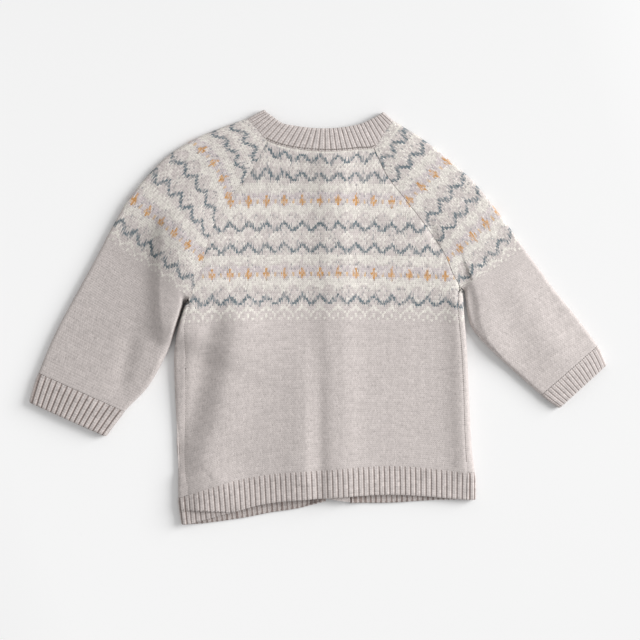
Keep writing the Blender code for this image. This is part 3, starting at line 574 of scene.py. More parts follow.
LILAC_ROWS = [(-3, 2), (31, 36)]    # rows whose ground is knitted in the lilac yarn

# Sleeves: the chart's row, then the section (row of SLEEVE_FOLDS) that it follows at the outer
# fold and at the raglan seam, how much it bows towards the neck between them, and how far a
# column of stars stands from the outer fold, in mm.
LEFT_SLEEVE_ROWS = [
    (-26, 0.0, 0.0, 0.0, 0.0),
    (0, 2.0, 2.0, 0.28, 0.0),
    (34, 4.1, 4.1, 0.05, 7.5),
    (50, 5.55, 5.6, 0.0, 9.0),
    (121, 11.0, 11.0, 0.0, 9.0),
]
RIGHT_SLEEVE_ROWS = [
    (-26, 0.0, 0.0, 0.0, 5.4),
    (0, 2.0, 2.0, 0.0, 5.4),
    (34, 3.75, 4.25, 0.0, 2.5),
    (50, 5.15, 6.1, 0.0, 2.5),
    (115, 11.0, 11.0, 0.0, 2.5),
]
SLEEVE_LEVELS = np.r_[np.linspace(0, 6, 25), np.linspace(7, 11, 17)]
TOP_FINE = 41           # points that a sleeve's section is worked out from: over the top
FLOOR_FINE = 31         # and along the floor
FRONT_LEVELS = np.r_[np.linspace(0, 6, 25), 6.5, np.linspace(7, 13, 25)]
SEAM_DIP = 0.35         # how far the cloth rolls down beside a seam
SEAM_ROLL = 1.3         # over this width
RIB_STEPS = 8           # columns to a rib
RIB_RELIEF = {"back": 0.8, "front": 1.3, "left": 1.1, "right": 0.55, "neck": 0.6}
# The reliefs are for the back's hem, the fronts' hems, the left and right cuffs and the neckband.
# The reliefs also scale the painted shade in the rib grooves.
FRONT_RIB = 4.6         # width of a front hem's rib
SIDE_ZONE = 90.0        # a front rides on the folds only beyond this, left or right of the middle
BAND_STITCH = 1.97      # width of a stitch and height of a row on the bands
BAND_ROW = 1.89
BUTTONHOLE_HALF = 0.6   # half the width of a buttonhole
BAND_CORNER = 3.0       # how far the bands' corner rises at the hem


def chart(stitch, row):
    """Names of the yarns for stitches, given their column and row numbers."""
    place = np.mod(stitch, REPEAT)
    distance = np.minimum(place, REPEAT - place)
    yarns = np.full(np.shape(stitch), "ground", dtype="U12")
    for low, high in LILAC_ROWS:
        yarns[(row >= low) & (row <= high)] = "lilac"
    for motif in MOTIFS:
        for k, taken in enumerate(motif["rows"]):
            in_row = row == motif["first"] + k
            for digit in taken:
                yarns[in_row & (distance == int(digit))] = motif["yarn"]
    return yarns


def to_linear(colour):
    """A colour as the screen shows it, turned into light."""
    colour = np.asarray(colour, float)
    return np.where(colour <= 0.04045, colour / 12.92, ((colour + 0.055) / 1.055) ** 2.4)


def settings():
    return bpy.context.scene.cardigan


def yarn_colour(name):
    """A yarn's colour as light."""
    return to_linear(getattr(settings(), name)[:])


def stitch_noise(shape, seed, spread):
    """One value near 1 for each stitch, the same each time."""
    return 1.0 + np.random.default_rng(seed).normal(0.0, spread, shape)


def knit_colours(stitch, row, seed):
    """Colour of each face of knitting: its yarn's, a little uneven from stitch to stitch."""
    yarns = chart(stitch, row)
    colours = np.zeros(yarns.shape + (3,))
    for name in np.unique(yarns):
        colours[yarns == name] = yarn_colour(str(name))
    ground, cream, blue = (yarn_colour(key) for key in ("ground", "cream", "blue"))
    rng = np.random.default_rng(seed)
    cover = np.clip(rng.normal(YARN_COVER, COVER_SPREAD, yarns.shape), 0.05, 1.0)
    cover = np.where(row > LOW_COVER_ROW, np.minimum(cover + LOW_COVER, 1.0), cover)
    plain = (yarns == "ground") | (yarns == "lilac")
    cover[plain] = 1.0
    colours = ground + (colours - ground) * cover[..., None]
    for name in ("blue", "ochre"):
        for step in (-1, 1):
            beside = np.roll(yarns == name, step, axis=0) & (yarns != name)
            spread = rng.random(yarns.shape) < LEG_SHARE
            spread = (beside & spread)[..., None] * LEG_MIX
            colours += (yarn_colour(name) - colours) * spread
    float_yarn = rng.random(yarns.shape)
    patterned = plain & (row < FRINGE_ROW)
    pale = patterned & (float_yarn < SHOW_THROUGH[0])
    dark = patterned & (float_yarn > 1.0 - SHOW_THROUGH_DARK[0])
    colours[pale] += (cream - colours[pale]) * SHOW_THROUGH[1]
    colours[dark] += (blue - colours[dark]) * SHOW_THROUGH_DARK[1]
    along_row = rng.normal(0.0, 1.0, yarns.shape)
    along_row = sum(np.roll(along_row, k, axis=1) for k in range(-3, 4)) / 7.0 ** 0.5
    uneven = 0.85 * rng.normal(0.0, 1.0, yarns.shape) + 0.4 * along_row
    strength = np.where(row < FRINGE_ROW, YOKE_HEATHER, 1.0) * settings().heather
    return colours * (1.0 + strength * uneven)[..., None]


def cloth_mesh(name, points, stitch, row, colours, holes=None):
    """A sheet with a grid's points in mm, its stitch coordinates and each face's colour."""
    rows, columns = points.shape[:2]
    sheet = bmesh.new()
    bmesh.ops.create_grid(sheet, x_segments=columns - 1, y_segments=rows - 1, size=1.0)
    mesh = bpy.data.meshes.new(name)
    sheet.to_mesh(mesh)
    sheet.free()
    mesh.vertices.foreach_set("co", (points * MM).astype(np.float32).ravel())
    corners = np.zeros(len(mesh.loops), int)
    mesh.loops.foreach_get("vertex_index", corners)
    lowest = corners.reshape(-1, 4).min(axis=1)
    face_row, face_column = lowest // columns, lowest % columns
    face_colour = colours[face_row, face_column]
    layer = mesh.color_attributes.new("yarn", 'FLOAT_COLOR', 'CORNER')
    rgba = np.ones((len(corners), 4), np.float32)
    rgba[:, :3] = np.repeat(face_colour, 4, axis=0)
    layer.data.foreach_set("color", rgba.ravel())
    uv = mesh.uv_layers.new(name="stitches")
    place = np.stack([stitch.ravel()[corners], row.ravel()[corners]], axis=1)
    uv.data.foreach_set("uv", place.astype(np.float32).ravel())
    clean = bmesh.new()
    clean.from_mesh(mesh)
    if holes is not None:
        cut = holes[face_row, face_column]
        clean.faces.ensure_lookup_table()
        gone = [face for face in clean.faces if cut[face.index]]
        bmesh.ops.delete(clean, geom=gone, context='FACES')
    bmesh.ops.remove_doubles(clean, verts=clean.verts[:], dist=MERGE * MM)
    bmesh.ops.dissolve_degenerate(clean, edges=clean.edges[:], dist=0.05 * MM)
    bmesh.ops.triangulate(clean, faces=[face for face in clean.faces if len(face.verts) > 4])
    clean.to_mesh(mesh)
    clean.free()
    return mesh


def add_piece(name, mesh, material, smooth_shading=True):
    """Put a mesh in the scene as a piece of the garment."""
    piece = bpy.data.objects.new(name, mesh)
    bpy.context.scene.collection.objects.link(piece)
    mesh.materials.clear()
    mesh.materials.append(material)
    if smooth_shading:
        mesh.shade_smooth()
    return piece


def cloth_piece(name, points, stitch, row, colours, thickness, material, outward, holes=None):
    """One knitted piece: the sheet made into a wall that reaches inwards."""
    run_across, run_down = np.gradient(points, axis=1), np.gradient(points, axis=0)
    if (np.cross(run_across, run_down) * outward).sum() < 0:
        points, stitch, row = points[:, ::-1], stitch[:, ::-1], row[:, ::-1]
        colours = colours[:, ::-1]
        holes = None if holes is None else holes[:, ::-1]
    mesh = cloth_mesh(name, points, stitch, row, colours, holes)
    piece = add_piece(name, mesh, material)
    wall = piece.modifiers.new("wall", 'SOLIDIFY')
    wall.thickness = thickness
    wall.offset = -1.0
    bpy.context.view_layer.update()
    walled = piece.evaluated_get(bpy.context.evaluated_depsgraph_get())
    solid = bpy.data.meshes.new_from_object(walled)
    piece.modifiers.clear()
    place = np.empty(len(solid.vertices) * 3, np.float32)
    solid.vertices.foreach_get("co", place)
    place[2::3] = np.maximum(place[2::3], 0.0)
    solid.vertices.foreach_set("co", place)
    piece.data = solid
    solid.shade_smooth()
    solid.set_sharp_from_angle(angle=SHARP_ANGLE)
    return piece


def declare(piece, node):
    """Tie a piece to the frame in place of its solid."""
    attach(piece, "root")
    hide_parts(*([node] if isinstance(node, str) else node))


def half_stitches(low, high, start):
    """Numbers of the half-stitch lines from low to high, in mm, on a grid that starts at start."""
    half = settings().stitch_width / MM / 2.0
    first, last = int(np.floor((low - start) / half)), int(np.ceil((high - start) / half))
    return np.arange(first, last + 1), half


def stitch_rows(lines, first, last):
    """Row coordinate of each vertex: whole rows, with the stitches' middles half a row lower."""
    whole = np.arange(first, last + 1)[:, None] + 0.0
    shift = np.where(lines % 2 == 1, 0.25, -0.25)[None, :]
    rows = whole + shift
    rows[0], rows[-1] = first, last
    return rows


def face_stitches(lines, first, last):
    """Column and row numbers of each face between half-stitch lines and rows."""
    stitch = np.floor_divide(lines[:-1], 2)
    row = np.arange(first, last)
    return np.broadcast_arrays(stitch[None, :], row[:, None])


SEAM_INSET = 0.02       # from a seam to the cloth on each side
YARN_COVER = 0.74       # share of a stitch that a pattern yarn covers, on average
COVER_SPREAD = 0.34     # and how uneven that is
LEG_SHARE = 0.22        # share of blue and ochre stitches whose legs reach into the next row
FRINGE_ROW = 50         # the chart's last row where yarns lie behind the ground
LOW_COVER_ROW = 48      # below this row pattern yarns cover more of a stitch
LOW_COVER = 0.25        # by this share
LEG_MIX = 0.6           # how much of its yarn's colour a leg brings to the next row
SHOW_THROUGH = (0.26, 0.6)      # share of ground stitches where cream shows through, and how much
SHOW_THROUGH_DARK = (0.06, 0.45)    # and where blue does
YOKE_HEATHER = 1.25     # how much more uneven the yoke's shade is


def seam_dip(distance):
    """How far the cloth rolls down at a distance from its seam."""
    return -SEAM_DIP * np.exp(-(np.maximum(distance, 0.0) / SEAM_ROLL) ** 2)


# ---------------------------------------------------------------- back

def edge_x(table_rows, pick, y):
    """X of the body's edge at heights y."""
    curve = along_table(BACK_EDGES, table_rows)[:, pick:pick + 2]
    order = np.argsort(curve[:, 1])
    return np.interp(y, curve[order, 1], curve[order, 0])


def plain_level(x, row):
    """Height of a knit row up the back where nothing pulls at it."""
    pitch = settings().row_height / MM
    return ORANGE_LEVEL - pitch * row - ROW_DROOP * (x / 100.0) ** 2


def back_level(x, row):
    """Height of a knit row up the back, pulled to the neck's curve and to the hem's."""
    neck = neck_points(np.linspace(RAGLAN_BACK_LEFT, RAGLAN_BACK_RIGHT, 60), 1)[0]
    hem = along_line(BACK_HEM_SEAM, 60)
    up = np.interp(x, neck[:, 0], neck[:, 1]) - SEAM_INSET - plain_level(x, FIRST_ROW)
    down = np.interp(x, hem[:, 0], hem[:, 1]) + SEAM_INSET - plain_level(x, LAST_ROW)
    near_neck = smooth(1.0 - (row - FIRST_ROW) / 20.0)
    near_hem = smooth((row - 50.0) / (LAST_ROW - 50.0))
    return plain_level(x, row) + up * near_neck + down * near_hem


def back_points():
    """The back's outside: points, stitch coordinates and half-stitch lines."""
    lines, half = half_stitches(-118.0, 133.0, STAR_X)
    rows = stitch_rows(lines, FIRST_ROW, LAST_ROW)
    levels = np.linspace(0, HEM_ROW, 300)
    x = np.broadcast_to(STAR_X + lines * half, rows.shape)
    wanted = x
    for _ in range(3):
        y = back_level(x, rows)
        low = edge_x(levels, 0, y) + SEAM_INSET
        high = edge_x(levels, 2, y) - SEAM_INSET
        x = np.clip(wanted, low, high)
    across = np.clip((x - low) / (high - low), 0.0, 1.0)
    down = (rows - FIRST_ROW) / (LAST_ROW - FIRST_ROW)
    z = TOP + DOME * np.sin(np.pi * across) * smooth(down * 6.0) + upper_lift(x, y)
    z += seam_dip((x - low) * 0.85) + seam_dip((high - x) * 0.85)
    z += seam_dip((rows - FIRST_ROW) * half * 2)
    stitch = (x - STAR_X) / (2.0 * half)
    return np.dstack([x, y, z]), stitch, rows, lines


# ---------------------------------------------------------------- sections

def sample(points, along, wanted):
    """Points where a measure along a polyline has the wanted values, held to its ends."""
    return np.stack([np.interp(wanted, along, points[:, k]) for k in range(3)], axis=1)


def level_between(levels, grid, column, at):
    """Points of one column of a grid of sections, at fractional sections."""
    return np.stack([np.interp(at, levels, grid[:, column, k]) for k in range(3)], axis=1)


def front_sections(side, rows, hem, floor_columns=40, side_columns=16):
    """A front's sections, from the centre out and round the side fold."""
    left = side == "left"
    out = np.array([-1.0, 0.0, 0.0]) if left else np.array([1.0, 0.0, 0.0])
    pick = slice(0, 2) if left else slice(2, 4)
    edges = along_table(FRONT_EDGES, rows)[:, pick]
    seams = along_table(BACK_EDGES, rows)[:, pick]
    turned = np.array([front_turn(row) for row in rows])
    fold_starts = edges - (turned[:, None] > 0) * FOLD_RADIUS * out[None, :2]
    fine = np.linspace(0, 1, FINE_STEPS)
    hem_seam = LEFT_HEM_SEAM if left else RIGHT_HEM_SEAM[::-1]
    hem_edge = LEFT_HEM_EDGE if left else RIGHT_HEM_EDGE[::-1]
    if hem:
        top = along_line(hem_seam, len(fine))[::-1]
        bottom = along_line(hem_edge, len(fine))[::-1]
        down = (np.array(rows) - HEM_ROW) / (HEM_EDGE_ROW - HEM_ROW)
    else:
        ends = (0, RAGLAN_FRONT_LEFT) if left else (LAST_STATION, RAGLAN_FRONT_RIGHT)
        top = neck_points(ends[0] + fine * (ends[1] - ends[0]), 1)[0][:, :2]
        bottom = along_line(hem_seam, len(fine))[::-1]
        down = np.array(rows) / HEM_ROW
    centre = top[0] + down[:, None] * (bottom[0] - top[0])
    plan = patch(top, bottom, centre, fold_starts, fine, down)
    plan[:, :, 0] = fit_to_centre(plan[:, :, 0], plan[:, :, 1], fine, left)
    sections = []
    for k in range(len(rows)):
        rise = front_rise(plan[k, :, 0], plan[k, :, 1], side)
        flat = np.column_stack([plan[k], rise])
        section = turned_section(flat, edges[k], seams[k], turned[k], out,
                                 (side_columns, floor_columns))
        sections.append(section[::-1])
    return np.array(sections), out, floor_columns


def front_points(side):
    """A front's outside, in straight knit rows and upright columns of stitches."""
    grid, _, floor_columns = front_sections(side, FRONT_LEVELS, 0)
    sign = -1.0 if side == "left" else 1.0
    lines, half = half_stitches(-10.0 if side == "left" else 20.0,
                                142.0 if side == "left" else 154.0, STAR_X * sign)
    row_numbers = np.arange(FIRST_ROW, LAST_ROW + 1)
    columns = grid.shape[1]
    points = []
    for rows in (row_numbers - 0.25, row_numbers + 0.25):
        made = []
        levels_at = np.zeros((len(rows), columns))
        for m in range(columns):
            column = grid[:, m]
            down = smooth((rows - 50.0) / (LAST_ROW - 50.0))
            bottom = column[-1, 1] + SEAM_INSET
            target = plain_level(column[-1, 0], rows)
            target = target + down * (bottom - plain_level(column[-1, 0], LAST_ROW))
            target = np.minimum(target, column[0, 1] - SEAM_INSET)
            levels_at[:, m] = np.interp(-target, -column[:, 1], FRONT_LEVELS)
            made.append(level_between(FRONT_LEVELS, grid, m, levels_at[:, m]))
        points.append(np.stack(made, axis=1))
    result = []
    for k in range(len(row_numbers)):
        pair = []
        for shifted in points:
            line = shifted[k]
            step = np.linalg.norm(np.diff(line, axis=0), axis=1)
            flat_step = np.abs(np.diff(line[:, 0]))
            use = np.where(np.arange(len(step)) < floor_columns - 1, flat_step, step)
            along = sign * line[0, 0] + np.r_[0.0, np.cumsum(use)]
            wanted = np.clip(STAR_X * sign + lines * half, along[0], along[-1])
            pair.append(np.column_stack([sample(line, along, wanted), wanted]))
        result.append(np.where((lines % 2 == 1)[:, None], pair[1], pair[0]))
    result = np.array(result)
    rows = np.broadcast_to(stitch_rows(lines, FIRST_ROW, LAST_ROW), result.shape[:2])
    xyz = result[:, :, :3].copy()
    share = smooth((xyz[:, :, 2] - FOLD_RADIUS) / FOLD_RADIUS) * (np.abs(xyz[:, :, 0]) > SIDE_ZONE)
    to_edge = result[:, :, 3].max(axis=1, keepdims=True) - result[:, :, 3]
    xyz[:, :, 2] += share * (upper_lift(xyz[:, :, 0], xyz[:, :, 1]) + seam_dip(to_edge))
    stitch = (result[:, :, 3] - STAR_X * sign) / (2.0 * half)
    return xyz, stitch, rows, lines


def sleeve_fine_grid(side, levels, counts):
    """A sleeve's sections from the neckband to the cuff, without folds."""
    left = side == "left"
    pick = slice(0, 2) if left else slice(2, 4)
    sections, outs = [], []
    for row in levels:
        fold = along_table(SLEEVE_FOLDS, row)[0][pick]
        if row <= UNDERARM_ROW:
            inner = along_table(BACK_EDGES, row)[0][pick]
            front = along_table(FRONT_EDGES, row)[0][pick]
            radius = FOLD_RADIUS
        else:
            line = along_table(SLEEVE_INNERS, row - TUBE_ROW)[0][slice(0, 3) if left else slice(3, 6)]
            inner, radius = line[0:2], line[2]
            front = inner
        section, out = sleeve_section(fold, inner, front, radius, row > UNDERARM_ROW, counts)
        sections.append(section)
        outs.append(np.r_[out, 0.0])
    grid = np.array(sections)
    if levels[0] == 0:
        grid = join_to_neck(grid, side, levels, counts)
    return grid, np.array(outs)


def sleeve_points(side):
    """A sleeve's outside in knit rows, its columns counted from a column of stars."""
    counts = (TOP_FINE, FLOOR_FINE, EDGE_CROWDING)
    grid, _ = sleeve_fine_grid(side, SLEEVE_LEVELS, counts)
    table = np.array(LEFT_SLEEVE_ROWS if side == "left" else RIGHT_SLEEVE_ROWS, float)
    first, last = int(table[0, 0]), int(table[-1, 0])
    columns = grid.shape[1]
    apex = TOP_FINE - 1 + (ARC_COLUMNS - 1) // 2
    share = np.where(np.arange(columns) <= apex,
                     1.0 - np.arange(columns) / apex,
                     (np.arange(columns) - apex) / (columns - 1.0 - apex))
    lines, half = half_stitches(-130.0, 130.0, 0.0)
    result = []
    numbers = np.arange(first, last + 1)
    for row in numbers:
        pair = []
        for shift in (-0.25, 0.25):
            r = np.clip(row + shift, first, last)
            at_fold, at_seam, bow, phase = (np.interp(r, table[:, 0], table[:, k])
                                            for k in (1, 2, 3, 4))
            at = at_fold + (at_seam - at_fold) * share - bow * 4.0 * share * (1.0 - share)
            line = np.array([level_between(SLEEVE_LEVELS, grid, m, at[m:m + 1])[0]
                             for m in range(columns)])
            along = np.r_[0.0, np.cumsum(np.linalg.norm(np.diff(line, axis=0), axis=1))]
            along = along - along[apex] + phase
            wanted = np.clip(lines * half, along[0], along[-1])
            pair.append(np.column_stack([sample(line, along, wanted), wanted]))
        result.append(np.where((lines % 2 == 1)[:, None], pair[1], pair[0]))
    result = np.array(result)
    used = (result[:, 1:, 3] - result[:, :-1, 3]).max(axis=0) > 1e-6
    keep = np.r_[used, False] | np.r_[False, used]
    result, lines = result[:, keep], lines[keep]
    rows = np.broadcast_to(stitch_rows(lines, first, last), result.shape[:2])
    xyz = add_lift(result[:, :, :3].copy())
    stitch = result[:, :, 3] / (2.0 * half)
    return xyz, stitch, rows, lines, first, last


# ---------------------------------------------------------------- ribs

GROOVE_PAINTED_SHADE = (0.80, 0.77, 0.76)   # painted shade in the grooves between ribs: the share of the yarn's colour kept there


def rib_height(phase, rise, groove):
    """Height of ribbing at a phase of its ribs: round ribs and narrow grooves."""
    return -groove + (rise + groove) * np.abs(np.sin(np.pi * phase)) ** 0.45


def rib_piece(name, node, grid, normals, phase, seed, stitches_down, relief=1.0):
    """One ribbed piece from a fine grid whose columns have a phase in ribs."""
    size = settings()
    rows = grid.shape[0]
    down = np.linspace(0, 1, rows)[:, None]
    rise = np.broadcast_to(rib_height(phase, size.rib_rise / MM, size.rib_groove / MM),
                           grid.shape[:2])
    rise = rise * relief * (0.25 + 0.75 * smooth(down * 6.0))
    rise = rise - 0.9 * smooth((down - 0.93) / 0.07)
    points = grid + rise[:, :, None] * normals
    points[:, :, 2] = np.maximum(points[:, :, 2], 0.0)
    stitch = np.broadcast_to(phase, grid.shape[:2])
    row = np.broadcast_to(down * stitches_down, grid.shape[:2])
    face_row = np.floor(row[:-1, :-1]).astype(int)
    face_stitch = np.floor(stitch[:-1, :-1] * 2.0).astype(int)
    uneven = stitch_noise((400, 400), seed, size.heather)
    colour = yarn_colour("ribbing")[None, None, :] * uneven[face_row % 400, face_stitch % 400, None]
    # Painted shade: the faces beside each groove are darkened, more on pieces with more relief.
    middle = (phase[:-1] + phase[1:]) / 2.0
    groove_shade_mask = smooth((np.abs(np.mod(middle, 1.0) - 0.5) * 2.0 - 0.5) / 0.4)
    shadow = to_linear(GROOVE_PAINTED_SHADE)
    colour = colour * (1.0 + (shadow - 1.0) * min(relief, 1.2) * groove_shade_mask[None, :, None])
    piece = cloth_piece(name, points, stitch, row, colour, size.rib_thickness, material("rib"),
                        normals)
    declare(piece, node)
    return piece


# ---------------------------------------------------------------- materials

def maths(tree, kind, first, second=None, third=None):
    """A maths node fed by sockets or numbers; returns its output."""
    node = tree.nodes.new("ShaderNodeMath")
    node.operation = kind
    for k, value in enumerate((first, second, third)):
        if value is None:
            continue
        if isinstance(value, (int, float)):
            node.inputs[k].default_value = value
        else:
            tree.links.new(value, node.inputs[k])
    return node.outputs[0]


def yarn_material(name, relief):
    """Wool: the piece's own yarn colours, heathered, with painted shade between stitch legs and the V
    of each stitch in relief.
    """
    material = bpy.data.materials.new(name)
    material.use_nodes = True
    tree = material.node_tree
    shader = tree.nodes["Principled BSDF"]
    shader.inputs["Roughness"].default_value = 0.92
    shader.inputs["Specular IOR Level"].default_value = 0.15
    shader.inputs["Sheen Weight"].default_value = 0.18
    shader.inputs["Sheen Roughness"].default_value = 0.6
    yarn = tree.nodes.new("ShaderNodeAttribute")
    yarn.attribute_name = "yarn"
    place = tree.nodes.new("ShaderNodeTexCoord")
    stitches = tree.nodes.new("ShaderNodeUVMap")
    stitches.uv_map = "stitches"
    parts = tree.nodes.new("ShaderNodeSeparateXYZ")
    tree.links.new(stitches.outputs["UV"], parts.inputs[0])
    off_middle = maths(tree, 'ABSOLUTE', maths(tree, 'SUBTRACT',
                       maths(tree, 'FRACT', parts.outputs["X"]), 0.5))
    slanted = maths(tree, 'FRACT', maths(tree, 'MULTIPLY_ADD', off_middle, 1.0,
                                         parts.outputs["Y"]))
    leg = maths(tree, 'SINE', maths(tree, 'MULTIPLY', off_middle, 2.0 * np.pi))
    turn = maths(tree, 'SINE', maths(tree, 'MULTIPLY', slanted, np.pi))
    height = maths(tree, 'MULTIPLY', maths(tree, 'POWER', leg, 0.4),
                   maths(tree, 'MULTIPLY_ADD', maths(tree, 'POWER', turn, 0.6), 0.7, 0.3))
    fuzz = tree.nodes.new("ShaderNodeTexNoise")
    fuzz.inputs["Scale"].default_value = 1500.0
    fuzz.inputs["Detail"].default_value = 3.0
    tree.links.new(place.outputs["Object"], fuzz.inputs["Vector"])
    flecks = tree.nodes.new("ShaderNodeTexNoise")
    flecks.inputs["Scale"].default_value = 900.0
    flecks.inputs["Detail"].default_value = 2.0
    tree.links.new(place.outputs["Object"], flecks.inputs["Vector"])
    shade = maths(tree, 'MULTIPLY_ADD', flecks.outputs["Fac"], 0.3, 0.85)
    # Painted shade: the colour is darker where the stitch is low, in the gaps between its legs.
    groove = maths(tree, 'MULTIPLY_ADD', height, 0.2, 0.86)
    fleck_tone_and_gap_shade = maths(tree, 'MULTIPLY', shade, groove)
    mix = tree.nodes.new("ShaderNodeVectorMath")
    mix.operation = 'SCALE'
    tree.links.new(yarn.outputs["Color"], mix.inputs[0])
    tree.links.new(fleck_tone_and_gap_shade, mix.inputs["Scale"])
    tree.links.new(mix.outputs[0], shader.inputs["Base Color"])
    bump = tree.nodes.new("ShaderNodeBump")
    bump.inputs["Strength"].default_value = 0.45
    bump.inputs["Distance"].default_value = relief
    tree.links.new(maths(tree, 'MULTIPLY_ADD', fuzz.outputs["Fac"], 0.5, height),
                   bump.inputs["Height"])
    tree.links.new(bump.outputs[0], shader.inputs["Normal"])
    return material


def material(name):
    """The named material, made the first time it is asked for."""
    found = bpy.data.materials.get("yarn_" + name)
    if found:
        return found
    return yarn_material("yarn_" + name, 0.0006)


def plain_material(name, roughness):
    """One plain colour from the settings."""
    made = bpy.data.materials.new("plain_" + name)
    made.use_nodes = True
    shader = made.node_tree.nodes["Principled BSDF"]
    shader.inputs["Base Color"].default_value = (*yarn_colour(name), 1.0)
    shader.inputs["Roughness"].default_value = roughness
    return made


# ---------------------------------------------------------------- small parts

BUTTONHOLE_LENGTH = 11.0
HOLE_OFFSET = 1.25      # from a button's middle to its holes, each way
HOLE_RADIUS = 0.7
LINKS_DOWN = 160        # linking stitches from the neckband to the hem, at each side
LINK_LENGTH = 0.8       # half the length of a linking stitch
LINK_RADIUS = 0.3
LINK_DEPTH = {"left": 0.5, "right": 0.3}   # how deep they lie in each raglan and side seam
NECK_LINKS = 52


def button_place(number):
    """X and y of a button's middle."""
    share = (number - 0.5) / BUTTON_COUNT
    y = BAND_NECK[1] + (BAND_HEM[1] - BAND_NECK[1]) * share
    return band_left_edge(y) + BAND_WIDTH / 2.0, y


def add_bead(mesh, middle, reach, radius):
    """Add a round-ended bit of yarn: its middle, half its run and its radius, in mm."""
    long = np.linalg.norm(reach)
    turn = Vector(reach / long).to_track_quat('Z', 'Y').to_matrix().to_4x4()
    size = Matrix.Diagonal((radius * MM, radius * MM, long * MM, 1.0))
    where = Matrix.Translation(Vector(np.asarray(middle) * MM))
    bmesh.ops.create_icosphere(mesh, subdivisions=2, radius=1.0, matrix=where @ turn @ size)


def finish_beads(name, made, colour):
    """Turn beads into a piece of the garment."""
    mesh = bpy.data.meshes.new(name)
    made.to_mesh(mesh)
    made.free()
    piece = add_piece(name, mesh, plain_material(colour, 0.9))
    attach(piece, "root")
    return piece


# ---------------------------------------------------------------- settings

def colour_property(name, text, value):
    return bpy.props.FloatVectorProperty(name=name, description=text, default=value, size=3,
                                         min=0.0, max=1.0, subtype='COLOR_GAMMA')


def length_property(name, text, value):
    return bpy.props.FloatProperty(name=name, description=text, default=value, min=0.0,
                                   subtype='DISTANCE', unit='LENGTH', precision=5)


class CardiganSettings(bpy.types.PropertyGroup):
    """Sizes and colours of the cardigan."""

    stitch_width: length_property("Stitch width", "Width of one knit stitch", 0.00197)
    row_height: length_property("Row height", "Height of one row of knitting", 0.00189)
    knit_thickness: length_property("Knit thickness", "Thickness of the plain knit", 0.0018)
    rib_thickness: length_property("Rib thickness", "Thickness of the ribbing", 0.0019)
    rib_rise: length_property("Rib rise", "How far a rib stands out", 0.0006)
    rib_groove: length_property("Rib groove", "How deep the grooves between ribs are", 0.00035)
    heather: bpy.props.FloatProperty(
        name="Heather", description="How uneven the yarn's shade is from stitch to stitch",
        default=0.064, min=0.0, max=0.5)
    ground: colour_property("Ground", "Main heathered yarn", (0.78, 0.747, 0.734))
    lilac: colour_property("Lilac ground", "Ground of the rows of stars", (0.78, 0.742, 0.742))
    ribbing: colour_property("Ribbing", "Yarn of the ribs and bands", (0.776, 0.743, 0.73))
    cream: colour_property("Cream", "Yarn of the waves and seeds", (0.875, 0.857, 0.825))
    blue: colour_property("Blue-grey", "Yarn of the zigzags", (0.40, 0.45, 0.475))
    ochre: colour_property("Ochre", "Yarn of the stars", (0.78, 0.58, 0.36))
    pale_ochre: colour_property("Pale ochre", "Yarn of the dots between stars",
                                (0.82, 0.70, 0.56))
    # The linking yarn is darker than the knitting's yarn: painted shade in the seams.
    shadow_yarn: colour_property("Linking yarn", "Yarn of the seams", (0.53, 0.50, 0.485))
    button: colour_property("Button", "Colour of the buttons", (0.82, 0.79, 0.74))


# ---------------------------------------------------------------- operators

class CARDIGAN_OT_back(bpy.types.Operator):
    """Build the back panel"""

    bl_idname = "cardigan.back"
    bl_label = "Back"

    def execute(self, context):
        points, stitch, rows, lines = back_points()
        column, row = face_stitches(lines, FIRST_ROW, LAST_ROW)
        colours = knit_colours(column, row, 1)
        up = np.broadcast_to(UP, points.shape)
        piece = cloth_piece("back_panel", points, stitch, rows, colours,
                            settings().knit_thickness, material("knit"), up)
        declare(piece, "back")
        return {'FINISHED'}


class CARDIGAN_OT_fronts(bpy.types.Operator):
    """Build the two front panels"""

    bl_idname = "cardigan.fronts"
    bl_label = "Fronts"

    def execute(self, context):
        for side in ("left", "right"):
            points, stitch, rows, lines = front_points(side)
            column, row = face_stitches(lines, FIRST_ROW, LAST_ROW)
            colours = knit_colours(column, row, 2 if side == "left" else 3)
            outward = np.zeros(points.shape) - UP
            piece = cloth_piece("front_%s_panel" % side, points, stitch, rows, colours,
                                settings().knit_thickness, material("knit"), outward)
            declare(piece, "front_" + side)
        return {'FINISHED'}


class CARDIGAN_OT_sleeves(bpy.types.Operator):
    """Build the two raglan sleeves"""

    bl_idname = "cardigan.sleeves"
    bl_label = "Sleeves"

    def execute(self, context):
        for side in ("left", "right"):
            points, stitch, rows, lines, first, last = sleeve_points(side)
            column, row = face_stitches(lines, first, last)
            colours = knit_colours(column, row, 4 if side == "left" else 5)
            outward = np.where(points[:, :, 2:3] > FOLD_RADIUS, UP, -UP)
            piece = cloth_piece("sleeve_%s_tube" % side, points, stitch, rows, colours,
                                settings().knit_thickness, material("knit"), outward)
            declare(piece, "sleeve_" + side)
        return {'FINISHED'}


